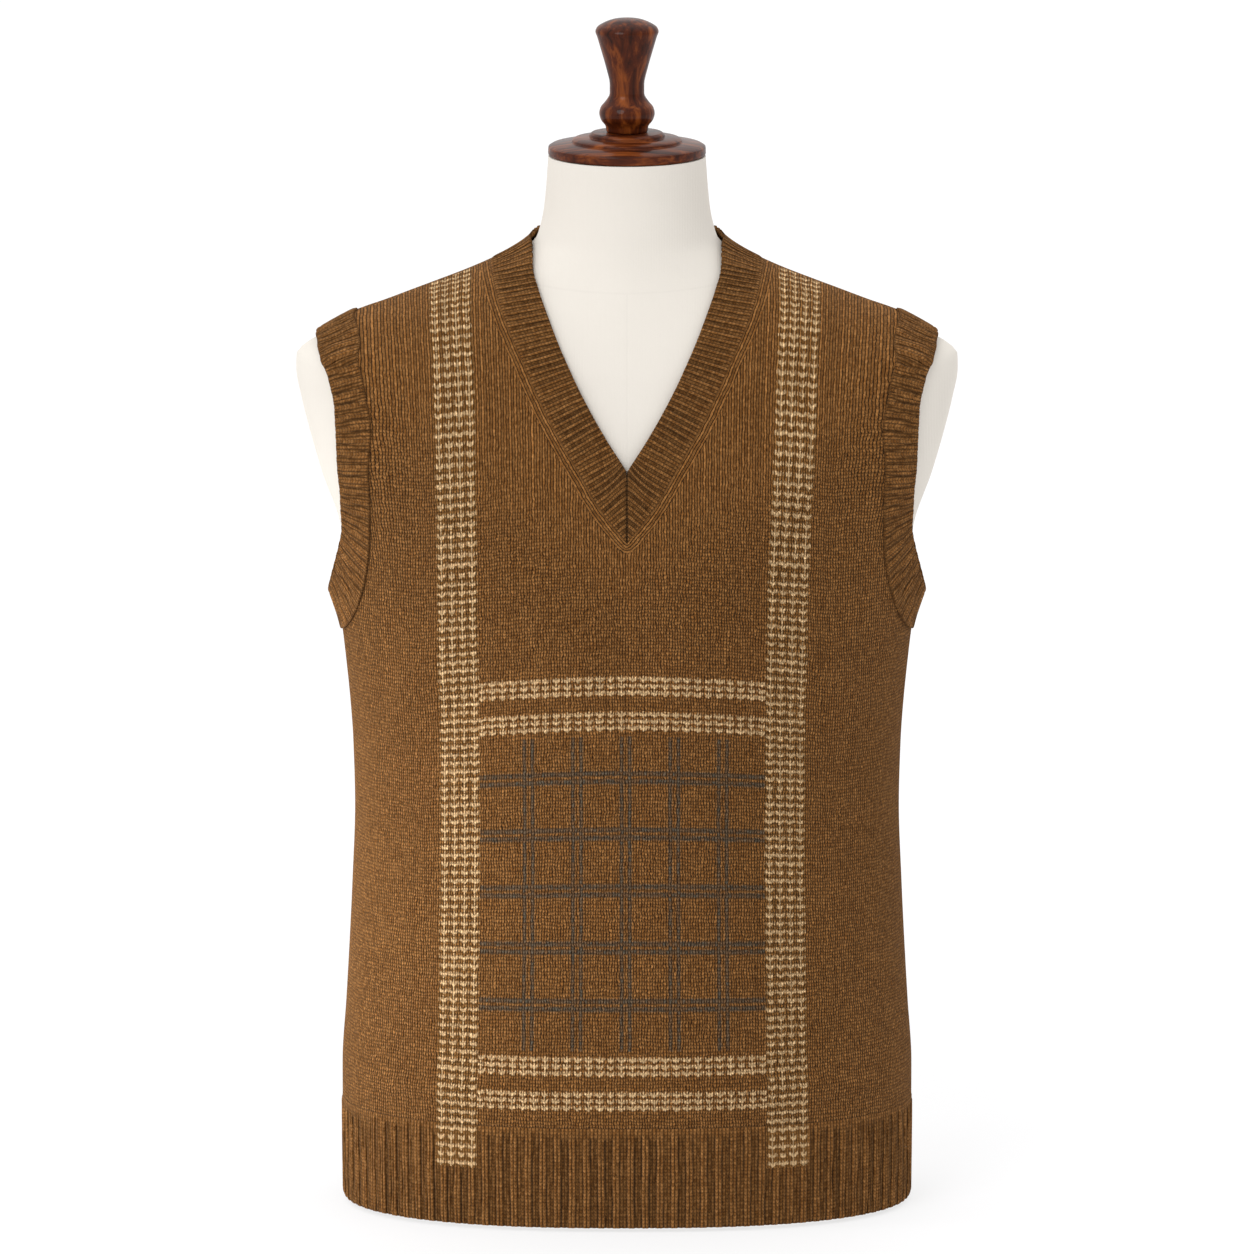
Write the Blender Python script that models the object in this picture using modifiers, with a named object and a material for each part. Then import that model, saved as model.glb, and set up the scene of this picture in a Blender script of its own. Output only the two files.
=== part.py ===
"""Knitted sweater vest on a limbless dress form with a turned wooden neck cap.

Metres, +Z up. The front faces -Y, and the form's flat base stands on Z = 0 at the origin.
The form is a loft of level sections. Every cloth piece is a thin wall worked out on that
same torso: its inside lies off the form by the section's ease, and its outside one knitted
wall further out. Ribs are raised in the outer points only, over a plain inside.
The tables are in millimetres.
"""

import math
from collections import namedtuple

import bmesh
import bpy
from mathutils import Matrix, Vector

MM = 0.001

KNIT_WALL = 2.2  # plain stocking stitch
SEAM_GAP = 0.3
BAND_SEAM_GAP = 0.4  # between a band and its panel, whose flat faces narrow it
RIB_RISE = 0.9  # wide 2x2 rib at the hem and armholes
FINE_RIB_RISE = 0.8  # narrow 1x1 rib at the neck
BAND_CROWN = 0.7  # how far a band's middle arches off the form
MIDDLE_FLARE = 0.4  # the share of its edge's flare that a band's middle has
NECK_FLARE = 1.0  # how far the neckband's free edge stands off the line of the cloth
BAND_PARTS = 3  # lengths of band to each row of the panel beside it

HEM_LOW = 3.0
HEM_TURN = 6.0  # the lower edge is rounded up to here
HEM_TOP = 72.0
HEM_RIBS = 52  # on each of the front and the back
HEM_STATIONS = 120  # places from the centre line to the side that set the ribs out evenly
ARMHOLE_RIBS = 68
NECK_RIBS = 124

UNDERARM = 387.0  # the side seam's top end
PANEL_COLUMNS = 12  # from the centre line to the side
PANEL_LOW_ROWS = 8  # from the rib to the underarm
PANEL_HIGH_ROWS = 15  # from the underarm to the shoulder seam
FRONT_NECK_ROWS = 11  # those of them that end on the V
BACK_NECK_ROWS = 7  # and on the back neckline

FORM_SIDES = 40
FORM_RING_STEP = 30.0  # table levels further apart than this get a ring halfway
TURNED_STEPS = 32

SAMPLES_PER_ROW = 24  # places along a table's curve that measure its length
SLOPE_REACH = 1.0  # the form's slope is measured this far above and below a point
SHARP_DEGREES = 50.0
MERGE = 0.00005  # metres

# Level sections of the torso: superellipses with their own depth in front and behind.
# ease is how far the cloth's inside hangs off the form there.
Level = namedtuple("Level", "z half front back power ease")
TORSO = [
    Level(0, 186.0, 111.5, 113.5, 2.40, 5.8),
    Level(66, 186.5, 112.5, 113.0, 2.40, 5.8),
    Level(95, 186.4, 112.3, 111.5, 2.40, 5.9),
    Level(137, 183.7, 111.0, 107.5, 2.40, 5.9),
    Level(178, 181.3, 109.2, 103.0, 2.40, 5.9),
    Level(220, 179.2, 107.0, 99.5, 2.40, 5.9),
    Level(275, 177.2, 105.5, 97.5, 2.40, 5.9),
    Level(317, 178.2, 106.8, 98.5, 2.40, 5.9),
    Level(344, 179.9, 108.6, 100.5, 2.40, 5.9),
    Level(387, 184.5, 111.3, 104.0, 2.40, 5.6),
    Level(418, 188.7, 112.0, 106.6, 2.40, 5.1),
    Level(445, 191.2, 111.6, 108.6, 2.40, 4.0),
    Level(470, 195.2, 110.3, 109.6, 2.40, 2.4),
    Level(503, 206.7, 107.2, 109.4, 2.38, 1.5),
    Level(531, 214.9, 103.2, 107.4, 2.28, 1.6),
    Level(554, 220.6, 98.7, 104.0, 2.16, 1.7),
    Level(574, 224.2, 93.8, 99.8, 2.06, 1.8),
    Level(583, 224.0, 91.2, 97.4, 2.00, 1.8),
    Level(589, 219.5, 88.9, 95.2, 1.95, 1.8),
    Level(595.5, 208.6, 86.3, 92.6, 1.90, 1.7),
    Level(602.2, 197.3, 83.6, 89.8, 1.86, 1.6),
    Level(609.2, 184.4, 80.6, 86.8, 1.82, 1.5),
    Level(616.2, 164.9, 77.4, 83.4, 1.79, 1.5),
    Level(623.2, 146.5, 74.0, 79.7, 1.77, 1.5),
    Level(630.2, 127.9, 70.6, 75.7, 1.76, 1.5),
    Level(637.3, 109.3, 67.2, 71.5, 1.78, 1.5),
    Level(644.5, 92.2, 64.1, 67.2, 1.84, 1.5),
    Level(651, 77.8, 61.8, 63.8, 1.92, 1.5),
    Level(657, 67.3, 60.3, 61.5, 2.00, 1.5),
    Level(662, 61.8, 59.2, 60.0, 2.00, 1.5),
    Level(670, 59.0, 58.0, 58.4, 2.00, 1.5),
    Level(682, 56.4, 56.4, 56.4, 2.00, 1.5),
    Level(698, 54.7, 54.7, 54.7, 2.00, 1.5),
    Level(719, 53.2, 53.2, 53.2, 2.00, 1.5),
]

# The V from its point to the shoulder: seam on the panel, then the neckband's free edge.
# An x past the shoulder's ridge is held on it.
NeckRow = namedtuple("NeckRow", "seam_x seam_z edge_x edge_z")
FRONT_NECK = [
    NeckRow(0.0, 473.0, 0.0, 520.0),
    NeckRow(17.5, 494.7, 4.5, 527.0),
    NeckRow(33.0, 521.0, 13.0, 540.0),
    NeckRow(49.0, 548.5, 24.5, 559.5),
    NeckRow(61.5, 573.5, 35.0, 579.5),
    NeckRow(71.5, 594.5, 44.5, 599.5),
    NeckRow(80.0, 612.0, 52.0, 617.5),
    NeckRow(86.5, 628.5, 58.5, 634.5),
    NeckRow(90.0, 640.0, 62.3, 648.0),
    NeckRow(92.2, 645.0, 61.8, 662.0),
]

# The back neckline, from the centre to the shoulder. The band stands up round the nape.
BACK_NECK = [
    NeckRow(0.0, 637.0, 0.0, 669.0),
    NeckRow(25.0, 637.5, 18.0, 668.8),
    NeckRow(48.0, 638.0, 35.0, 668.5),
    NeckRow(68.0, 639.5, 49.0, 667.8),
    NeckRow(83.0, 642.0, 59.5, 664.8),
    NeckRow(92.2, 645.0, 61.8, 662.0),
]

# The armhole in side view, from the underarm to the shoulder, the same in front and behind.
# flare is how far the band's free edge stands off the line of the cloth.
ArmholeRow = namedtuple("ArmholeRow", "seam_y seam_z edge_y edge_z flare")
ARMHOLE = [
    ArmholeRow(0.0, 387.0, 0.0, 418.0, 6.0),
    ArmholeRow(24.0, 391.0, 11.0, 420.5, 5.7),
    ArmholeRow(43.0, 402.0, 21.0, 429.0, 4.7),
    ArmholeRow(55.0, 420.0, 31.0, 444.0, 3.0),
    ArmholeRow(61.5, 445.0, 38.5, 462.0, 1.6),
    ArmholeRow(66.0, 475.0, 44.5, 481.0, 0.7),
    ArmholeRow(70.0, 505.0, 51.5, 504.0, 0.1),
    ArmholeRow(69.5, 534.0, 53.0, 531.0, 0.0),
    ArmholeRow(64.0, 561.0, 49.5, 555.0, 0.0),
    ArmholeRow(56.0, 581.0, 42.5, 574.0, 0.0),
    ArmholeRow(41.5, 595.0, 32.0, 586.0, 0.0),
    ArmholeRow(21.0, 605.0, 15.0, 593.8, 0.0),
    ArmholeRow(0.0, 609.4, 0.0, 596.1, 0.0),
]

# Turned profiles, outer side from top to bottom.
TurnedPoint = namedtuple("TurnedPoint", "radius z")
NECK_CAP = [
    TurnedPoint(0.0, 735.0),
    TurnedPoint(23.6, 735.0),
    TurnedPoint(25.4, 733.6),
    TurnedPoint(25.6, 731.6),
    TurnedPoint(35.4, 730.9),
    TurnedPoint(37.2, 729.8),
    TurnedPoint(37.4, 728.4),
    TurnedPoint(51.2, 726.4),
    TurnedPoint(53.2, 725.2),
    TurnedPoint(53.4, 720.6),
    TurnedPoint(52.2, 719.3),
    TurnedPoint(0.0, 719.3),
]
FINIAL = [
    TurnedPoint(0.0, 812.7),
    TurnedPoint(8.0, 812.0),
    TurnedPoint(15.5, 809.5),
    TurnedPoint(20.4, 806.2),
    TurnedPoint(21.4, 803.6),
    TurnedPoint(20.2, 800.0),
    TurnedPoint(17.4, 790.5),
    TurnedPoint(14.0, 778.5),
    TurnedPoint(11.7, 768.0),
    TurnedPoint(11.7, 761.5),
    TurnedPoint(14.6, 756.0),
    TurnedPoint(17.8, 752.0),
    TurnedPoint(18.8, 748.0),
    TurnedPoint(17.7, 743.6),
    TurnedPoint(14.6, 739.4),
    TurnedPoint(13.6, 735.3),
    TurnedPoint(0.0, 735.3),
]

# The wall's inside and outside at one place on a piece of cloth.
Wall = namedtuple("Wall", "inside outside")

# One knitted rib: the raise of each column of outer points, as a share of its full height.
WIDE_RIB = (0.0, 1.0, 1.0)
FINE_RIB = (0.0, 1.0)
# The same on each row of points across a band, from its seam, and up the hem from its edge.
BAND_RIB_SHARES = (0.5, 1.0, 0.8)
HEM_RIB_SHARES = (0.45, 1.0, 0.8)


def smooth_rows(rows, keys, key):
    """A table's columns at `key`, on curves that never swing past a row's own values."""
    last = len(rows) - 1
    index = max(i for i in range(last) if keys[i] <= key or i == 0)
    step = keys[index + 1] - keys[index]
    t = min(max((key - keys[index]) / step, 0.0), 1.0)

    def slope(column, i):
        return (rows[i + 1][column] - rows[i][column]) / (keys[i + 1] - keys[i])

    def tangent(column, i):
        if i == 0:
            return slope(column, 0)
        if i == last:
            return slope(column, last - 1)
        before, after = slope(column, i - 1), slope(column, i)
        if before * after <= 0.0:
            return 0.0
        return 2.0 * before * after / (before + after)

    values = []
    for column in range(len(rows[0])):
        start, end = rows[index][column], rows[index + 1][column]
        leave, arrive = tangent(column, index) * step, tangent(column, index + 1) * step
        values.append(
            start * (2 * t**3 - 3 * t**2 + 1)
            + leave * (t**3 - 2 * t**2 + t)
            + end * (3 * t**2 - 2 * t**3)
            + arrive * (t**3 - t**2)
        )
    return type(rows[0])(*values)


LEVEL_HEIGHTS = [level.z for level in TORSO]


def level_at(z):
    return smooth_rows(TORSO, LEVEL_HEIGHTS, z)


def depth_of(level, side):
    return level.front if side < 0 else level.back


def turn_of_x(x, z):
    """How far round a section x lies, from 0 at the centre line to 1 at the side."""
    level = level_at(z)
    share = min(max(x / level.half, 0.0), 1.0)
    return math.asin(share ** (level.power / 2)) * 2 / math.pi


def turn_of_y(y, z, side):
    level = level_at(z)
    share = min(max(y / depth_of(level, side), 0.0), 1.0)
    return math.acos(share ** (level.power / 2)) * 2 / math.pi


def torso_point(turn, z, side, lift=0.0):
    """A point `lift` off the form, in front with side -1 and behind with side 1."""
    level = level_at(z)
    depth = depth_of(level, side)
    across = math.sin(turn * math.pi / 2) ** (2 / level.power)
    along = max(math.cos(turn * math.pi / 2), 0.0) ** (2 / level.power)
    point = Vector((level.half * across, side * depth * along, z))
    if lift == 0.0:
        return point
    above, below = level_at(z + SLOPE_REACH), level_at(z - SLOPE_REACH)
    half_slope = (above.half - below.half) / (2 * SLOPE_REACH)
    depth_slope = (depth_of(above, side) - depth_of(below, side)) / (2 * SLOPE_REACH)
    outward = Vector(
        (
            across ** (level.power - 1) / level.half,
            side * along ** (level.power - 1) / depth,
            -(across**level.power) * half_slope / level.half
            - along**level.power * depth_slope / depth,
        )
    )
    return point + outward.normalized() * lift


def cloth_at(turn, z, side, flare=0.0):
    """The knitted wall at one place. Cloth at the side stays half a seam off the middle plane."""
    start = level_at(z).ease + flare
    points = []
    for lift in (start, start + KNIT_WALL):
        point = torso_point(turn, z, side, lift)
        point.y = side * max(abs(point.y), SEAM_GAP / 2)
        points.append(point)
    return Wall(*points)


def mix(first, second, share):
    return Wall(
        first.inside.lerp(second.inside, share),
        first.outside.lerp(second.outside, share),
    )


def even_rows(place, rows, count):
    """Rows between a table's own that cut the line they draw into equal lengths."""
    fine = SAMPLES_PER_ROW * (len(rows) - 1)
    keys = [i * (len(rows) - 1) / fine for i in range(fine + 1)]
    numbers = list(range(len(rows)))
    points = [place(smooth_rows(rows, numbers, key)) for key in keys]
    reached = [0.0]
    for before, after in zip(points, points[1:]):
        reached.append(reached[-1] + (after - before).length)
    even = []
    for i in range(count + 1):
        goal = reached[-1] * i / count
        at = max(k for k in range(fine) if reached[k] <= goal)
        part = (goal - reached[at]) / (reached[at + 1] - reached[at])
        even.append(keys[at] + part * (keys[at + 1] - keys[at]))
    return [smooth_rows(rows, numbers, key) for key in even]


# A place where a band is sewn to a panel: the turn and height of the seam and the free edge.
Station = namedtuple("Station", "side seam_turn seam_z edge_turn edge_z flare")


def neck_stations(rows, side, count):
    def seam_place(row):
        return torso_point(turn_of_x(row.seam_x, row.seam_z), row.seam_z, side)

    return [
        Station(
            side,
            turn_of_x(row.seam_x, row.seam_z),
            row.seam_z,
            turn_of_x(row.edge_x, row.edge_z),
            row.edge_z,
            NECK_FLARE,
        )
        for row in even_rows(seam_place, rows, count)
    ]


def armhole_stations(side):
    def seam_place(row):
        return torso_point(turn_of_y(row.seam_y, row.seam_z, side), row.seam_z, side)

    return [
        Station(
            side,
            turn_of_y(row.seam_y, row.seam_z, side),
            row.seam_z,
            turn_of_y(row.edge_y, row.edge_z, side),
            row.edge_z,
            row.flare,
        )
        for row in even_rows(seam_place, ARMHOLE, PANEL_HIGH_ROWS)
    ]


def mirrored(wall):
    flip = Vector((-1, 1, 1))
    return Wall(wall.inside * flip, wall.outside * flip)


def panel_grid(neck, armhole, side):
    """Rows of walls from the rib up to the shoulder, each from the centre or neck to the side."""
    bottom = HEM_TOP + SEAM_GAP / 2
    ends = []
    for i in range(PANEL_LOW_ROWS):
        z = bottom + (UNDERARM - bottom) * i / PANEL_LOW_ROWS
        ends.append(((0.0, z), (1.0, z)))
    centre_rows = PANEL_HIGH_ROWS - (len(neck) - 1)
    for i, station in enumerate(armhole):
        if i < centre_rows:
            z = UNDERARM + (neck[0].seam_z - UNDERARM) * i / centre_rows
            left = (0.0, z)
        else:
            left = (neck[i - centre_rows].seam_turn, neck[i - centre_rows].seam_z)
        ends.append((left, (station.seam_turn, station.seam_z)))
    grid = []
    for (left_turn, left_z), (right_turn, right_z) in ends:
        half_row = []
        for i in range(PANEL_COLUMNS + 1):
            share = i / PANEL_COLUMNS
            turn = left_turn + (right_turn - left_turn) * share
            z = left_z + (right_z - left_z) * share
            half_row.append(cloth_at(turn, z, side))
        grid.append(half_row)
    return grid


def between(first, second, share):
    """The station `share` of the way from one to the next on the same side."""
    return Station(first.side, *(a + (b - a) * share for a, b in zip(first[1:], second[1:])))


def wall_across(station, across):
    """The band's wall at a station, `across` it from the seam at 0 to the free edge at 1."""
    turn = station.seam_turn + (station.edge_turn - station.seam_turn) * across
    z = station.seam_z + (station.edge_z - station.seam_z) * across
    lift = station.flare if across == 1 else station.flare * MIDDLE_FLARE + BAND_CROWN
    return cloth_at(turn, z, station.side, lift)


def band_columns(stations):
    """The three walls across a band, at the seam, halfway and at the edge, all along it.

    The seam keeps to the straight lines of the panel's own edge between stations.
    """
    seams = [cloth_at(station.seam_turn, station.seam_z, station.side) for station in stations]
    columns = []
    for i in range((len(stations) - 1) * BAND_PARTS + 1):
        at = min(i // BAND_PARTS, len(stations) - 2)
        share = i / BAND_PARTS - at
        station = between(stations[at], stations[at + 1], share)
        seam = mix(seams[at], seams[at + 1], share)
        edge = wall_across(station, 1)
        gap = BAND_SEAM_GAP / (edge.inside - seam.inside).length
        columns.append((mix(seam, edge, gap), wall_across(station, 0.5), edge))
    return columns


def add_faces(bm, rows, ring=False):
    """Four-sided faces between rows of points, joined end to end where the piece is a ring."""
    count = len(rows[0])
    for low, high in zip(rows, rows[1:]):
        for i in range(count if ring else count - 1):
            j = (i + 1) % count
            bm.faces.new((low[i], low[j], high[j], high[i]))


def add_rim(bm, outer, inner, ring=False, every=1):
    """The wall's own edge, between a line of outer points and one inner point in `every`."""
    for i in range(len(inner) if ring else len(inner) - 1):
        j = (i + 1) % len(inner)
        outline = [outer[(i * every + k) % len(outer)] for k in range(every + 1)]
        bm.faces.new([inner[j], inner[i]] + outline)


def add_skins(bm, rows, ring=False, every=1):
    """A wall's outer skin, and its inner skin with one column of points in `every`."""
    outside = [[bm.verts.new(wall.outside * MM) for wall in row] for row in rows]
    inside = [[bm.verts.new(wall.inside * MM) for wall in row[::every]] for row in rows]
    for skin in (outside, inside):
        add_faces(bm, skin, ring)
    return outside, inside


def band_mesh(rows, ring, every):
    """A closed wall with ribs raised on its outside and a plain inside."""
    bm = bmesh.new()
    outside, inside = add_skins(bm, rows, ring, every)
    for end in (0, -1):
        add_rim(bm, outside[end], inside[end], ring, every)
        if not ring:
            add_rim(bm, [row[end] for row in outside], [row[end] for row in inside])
    return bm


def ribbed(columns, ribs, profile, rise, heights, ring):
    """Rows of walls along a band, with ribs raised in the outer points.

    columns are walls across the band, heights the share of the rise on each row of them.
    """
    per_rib = len(profile)
    steps = ribs * per_rib
    last = len(columns) - 1
    lengths = [0.0]
    for before, after in zip(columns, columns[1:]):
        lengths.append(lengths[-1] + (after[0].inside - before[0].inside).length)
    rows = [[] for _ in heights]
    for i in range(steps if ring else steps + 1):
        goal = lengths[-1] * i / steps
        at = max(k for k in range(last) if lengths[k] <= goal)
        share = (goal - lengths[at]) / (lengths[at + 1] - lengths[at])
        for row, height in enumerate(heights):
            wall = mix(columns[at][row], columns[at + 1][row], share)
            outward = (wall.outside - wall.inside).normalized()
            raised = outward * rise * profile[i % per_rib] * height
            rows[row].append(Wall(wall.inside, wall.outside + raised))
    return rows


def material(name, colour, roughness):
    made = bpy.data.materials.new(name)
    made.use_nodes = True
    made.diffuse_color = (*colour, 1.0)
    shader = made.node_tree.nodes["Principled BSDF"]
    shader.inputs["Base Color"].default_value = (*colour, 1.0)
    shader.inputs["Roughness"].default_value = roughness
    return made


def brown_wool(piece_name):
    return material(piece_name + "_brown_wool", (0.223, 0.098, 0.026), 0.9)


def dark_beech(piece_name):
    return material(piece_name + "_dark_beech", (0.115, 0.032, 0.012), 0.25)


def finish_mesh(name, bm, collection, finish):
    bmesh.ops.recalc_face_normals(bm, faces=bm.faces)
    mesh = bpy.data.meshes.new(name)
    bm.to_mesh(mesh)
    bm.free()
    mesh.shade_smooth()
    mesh.set_sharp_from_angle(angle=math.radians(SHARP_DEGREES))
    mesh.materials.append(finish)
    collection.objects.link(bpy.data.objects.new(name, mesh))


def clear_scene():
    for thing in list(bpy.data.objects):
        bpy.data.objects.remove(thing, do_unlink=True)


def make_panel(name, neck, armhole, side, collection):
    """The front or back: plain stocking stitch, made as one half and mirrored to the other."""
    grid = panel_grid(neck, armhole, side)
    bm = bmesh.new()
    outside, inside = add_skins(bm, grid)
    for end in (0, -1):
        add_rim(bm, outside[end], inside[end])
    add_rim(bm, [row[-1] for row in outside], [row[-1] for row in inside])
    neck_point = len(grid) - len(neck)
    add_rim(bm, [row[0] for row in outside[neck_point:]], [row[0] for row in inside[neck_point:]])
    half = bm.verts[:] + bm.edges[:] + bm.faces[:]
    bmesh.ops.mirror(bm, geom=half, matrix=Matrix(), merge_dist=MERGE, axis="X")
    finish_mesh(name, bm, collection, brown_wool(name))


def make_hem(name, side, collection):
    """The hem's 2x2 rib, knitted down from the panel to a rounded lower edge."""
    columns = []
    for i in range(-HEM_STATIONS, HEM_STATIONS + 1):
        turn = abs(i) / HEM_STATIONS
        walls = [cloth_at(turn, z, side) for z in (HEM_LOW, HEM_TURN, HEM_TOP - SEAM_GAP / 2)]
        columns.append([mirrored(wall) for wall in walls] if i < 0 else walls)
    rows = ribbed(columns, HEM_RIBS, WIDE_RIB, RIB_RISE, HEM_RIB_SHARES, ring=False)
    bm = band_mesh(rows, ring=False, every=len(WIDE_RIB))
    finish_mesh(name, bm, collection, brown_wool(name))


def make_neckband(name, front, back, collection):
    """One ring of 1x1 rib: down both sides of the V and round the nape."""
    right = band_columns(front) + band_columns(back)[-2::-1]
    left = [[mirrored(wall) for wall in column] for column in right]
    columns = right + left[-2::-1]
    rows = ribbed(columns, NECK_RIBS, FINE_RIB, FINE_RIB_RISE, BAND_RIB_SHARES, ring=True)
    bm = band_mesh(rows, ring=True, every=len(FINE_RIB))
    finish_mesh(name, bm, collection, brown_wool(name))


def make_armhole_band(name, front, back, hand, collection):
    """One ring of 2x2 rib round an armhole, which stands off the form under the arm."""
    columns = band_columns(front) + band_columns(back)[-2::-1]
    if hand < 0:
        columns = [[mirrored(wall) for wall in column] for column in columns]
    rows = ribbed(columns, ARMHOLE_RIBS, WIDE_RIB, RIB_RISE, BAND_RIB_SHARES, ring=True)
    bm = band_mesh(rows, ring=True, every=len(WIDE_RIB))
    finish_mesh(name, bm, collection, brown_wool(name))


def form_heights():
    heights = []
    for low, high in zip(TORSO, TORSO[1:]):
        heights.append(low.z)
        if high.z - low.z > FORM_RING_STEP:
            heights.append((low.z + high.z) / 2)
    return heights + [TORSO[-1].z]


def make_form(name, collection):
    """The padded torso, its neck and its rounded shoulder ends, closed flat below and above."""
    quarter = FORM_SIDES // 4
    bm = bmesh.new()
    rings = []
    for z in form_heights():
        ring = []
        for i in range(FORM_SIDES):
            part = i / quarter
            turn = 1 - abs(part % 2 - 1)
            point = torso_point(turn, z, -1 if part < 1 or part >= 3 else 1)
            if part >= 2:
                point.x = -point.x
            ring.append(bm.verts.new(point * MM))
        rings.append(ring)
    add_faces(bm, rings, ring=True)
    bm.faces.new(rings[0])
    bm.faces.new(rings[-1])
    cover = material("cream_jersey_cover", (0.87, 0.83, 0.75), 0.85)
    finish_mesh(name, bm, collection, cover)


def make_turned(name, profile, collection):
    """A lathe-turned piece of dark varnished wood."""
    bm = bmesh.new()
    points = [bm.verts.new((point.radius * MM, 0, point.z * MM)) for point in profile]
    for before, after in zip(points, points[1:]):
        bm.edges.new((before, after))
    mesh = bpy.data.meshes.new(name)
    bm.to_mesh(mesh)
    bm.free()
    mesh.materials.append(dark_beech(name))
    piece = bpy.data.objects.new(name, mesh)
    collection.objects.link(piece)
    turned = piece.modifiers.new("turned", "SCREW")
    turned.steps = TURNED_STEPS
    turned.render_steps = TURNED_STEPS
    turned.use_merge_vertices = True
    turned.merge_threshold = MERGE
    turned.use_smooth_shade = True


def main():
    clear_scene()
    collection = bpy.data.collections.new("sweater_vest_on_dress_form")
    bpy.context.scene.collection.children.link(collection)

    front_neck = neck_stations(FRONT_NECK, -1, FRONT_NECK_ROWS)
    back_neck = neck_stations(BACK_NECK, 1, BACK_NECK_ROWS)
    front_armhole = armhole_stations(-1)
    back_armhole = armhole_stations(1)

    make_form("form_body", collection)
    make_turned("neck_cap", NECK_CAP, collection)
    make_turned("finial", FINIAL, collection)
    make_panel("vest_front", front_neck, front_armhole, -1, collection)
    make_panel("vest_back", back_neck, back_armhole, 1, collection)
    make_hem("hem_rib_front", -1, collection)
    make_hem("hem_rib_back", 1, collection)
    make_neckband("neckband", front_neck, back_neck, collection)
    make_armhole_band("armhole_band_right", front_armhole, back_armhole, 1, collection)
    make_armhole_band("armhole_band_left", front_armhole, back_armhole, -1, collection)


main()
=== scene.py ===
import math
from collections import namedtuple

import bmesh
import bpy
import numpy as np
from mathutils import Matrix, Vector


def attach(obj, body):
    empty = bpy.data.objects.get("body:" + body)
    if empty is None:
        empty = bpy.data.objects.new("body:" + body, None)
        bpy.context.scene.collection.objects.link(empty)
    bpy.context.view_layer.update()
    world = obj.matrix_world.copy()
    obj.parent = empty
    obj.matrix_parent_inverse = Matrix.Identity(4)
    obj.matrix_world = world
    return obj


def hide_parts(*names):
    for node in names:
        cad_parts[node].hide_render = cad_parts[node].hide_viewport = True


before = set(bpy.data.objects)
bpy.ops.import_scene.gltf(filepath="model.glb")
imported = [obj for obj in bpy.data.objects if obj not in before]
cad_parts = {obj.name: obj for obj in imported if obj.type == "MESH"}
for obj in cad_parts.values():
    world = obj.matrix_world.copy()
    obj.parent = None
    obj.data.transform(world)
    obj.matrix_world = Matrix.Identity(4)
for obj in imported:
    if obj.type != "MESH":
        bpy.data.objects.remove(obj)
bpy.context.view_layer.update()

MM = 0.001

# ---- Dress form: body -----------------------------------------------------
# A moulded and padded half torso with no limbs, covered in a fine cream cotton jersey.
# The cover is sewn at the centre front and round the foot of the neck, and pulled smooth.

# Level sections of the torso, in millimetres: superellipses with their own depth in front
# and behind. ease is how far the knitted cloth's inside hangs off the form there.
Level = namedtuple("Level", "z half front back power ease")
TORSO = [
    Level(0, 186.0, 111.5, 113.5, 2.40, 5.8),
    Level(66, 186.5, 112.5, 113.0, 2.40, 5.8),
    Level(95, 186.4, 112.3, 111.5, 2.40, 5.9),
    Level(137, 183.7, 111.0, 107.5, 2.40, 5.9),
    Level(178, 181.3, 109.2, 103.0, 2.40, 5.9),
    Level(220, 179.2, 107.0, 99.5, 2.40, 5.9),
    Level(275, 177.2, 105.5, 97.5, 2.40, 5.9),
    Level(317, 178.2, 106.8, 98.5, 2.40, 5.9),
    Level(344, 179.9, 108.6, 100.5, 2.40, 5.9),
    Level(387, 184.5, 111.3, 104.0, 2.40, 5.6),
    Level(418, 188.7, 112.0, 106.6, 2.40, 5.1),
    Level(445, 191.2, 111.6, 108.6, 2.40, 4.0),
    Level(470, 195.2, 110.3, 109.6, 2.40, 2.4),
    Level(503, 206.7, 107.2, 109.4, 2.38, 1.5),
    Level(531, 214.9, 103.2, 107.4, 2.28, 1.6),
    Level(554, 220.6, 98.7, 104.0, 2.16, 1.7),
    Level(574, 224.2, 93.8, 99.8, 2.06, 1.8),
    Level(583, 224.0, 91.2, 97.4, 2.00, 1.4),
    Level(589, 219.5, 88.9, 95.2, 1.95, 1.2),
    Level(595.5, 208.6, 86.3, 92.6, 1.90, 1.0),
    Level(602.2, 197.3, 83.6, 89.8, 1.86, 0.9),
    Level(609.2, 184.4, 80.6, 86.8, 1.82, 0.8),
    Level(616.2, 164.9, 77.4, 83.4, 1.79, 0.8),
    Level(623.2, 146.5, 74.0, 79.7, 1.77, 0.8),
    Level(630.2, 127.9, 70.6, 75.7, 1.76, 0.8),
    Level(637.3, 109.3, 67.2, 71.5, 1.78, 0.8),
    Level(644.5, 92.2, 64.1, 67.2, 1.84, 0.9),
    Level(651, 77.8, 61.8, 63.8, 1.92, 1.2),
    Level(657, 67.3, 60.3, 61.5, 2.00, 1.5),
    Level(662, 61.8, 59.2, 60.0, 2.00, 1.5),
    Level(670, 59.0, 58.0, 58.4, 2.00, 1.5),
    Level(682, 56.4, 56.4, 56.4, 2.00, 1.5),
    Level(698, 54.7, 54.7, 54.7, 2.00, 1.5),
    Level(719, 53.2, 53.2, 53.2, 2.00, 1.5),
]


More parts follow.
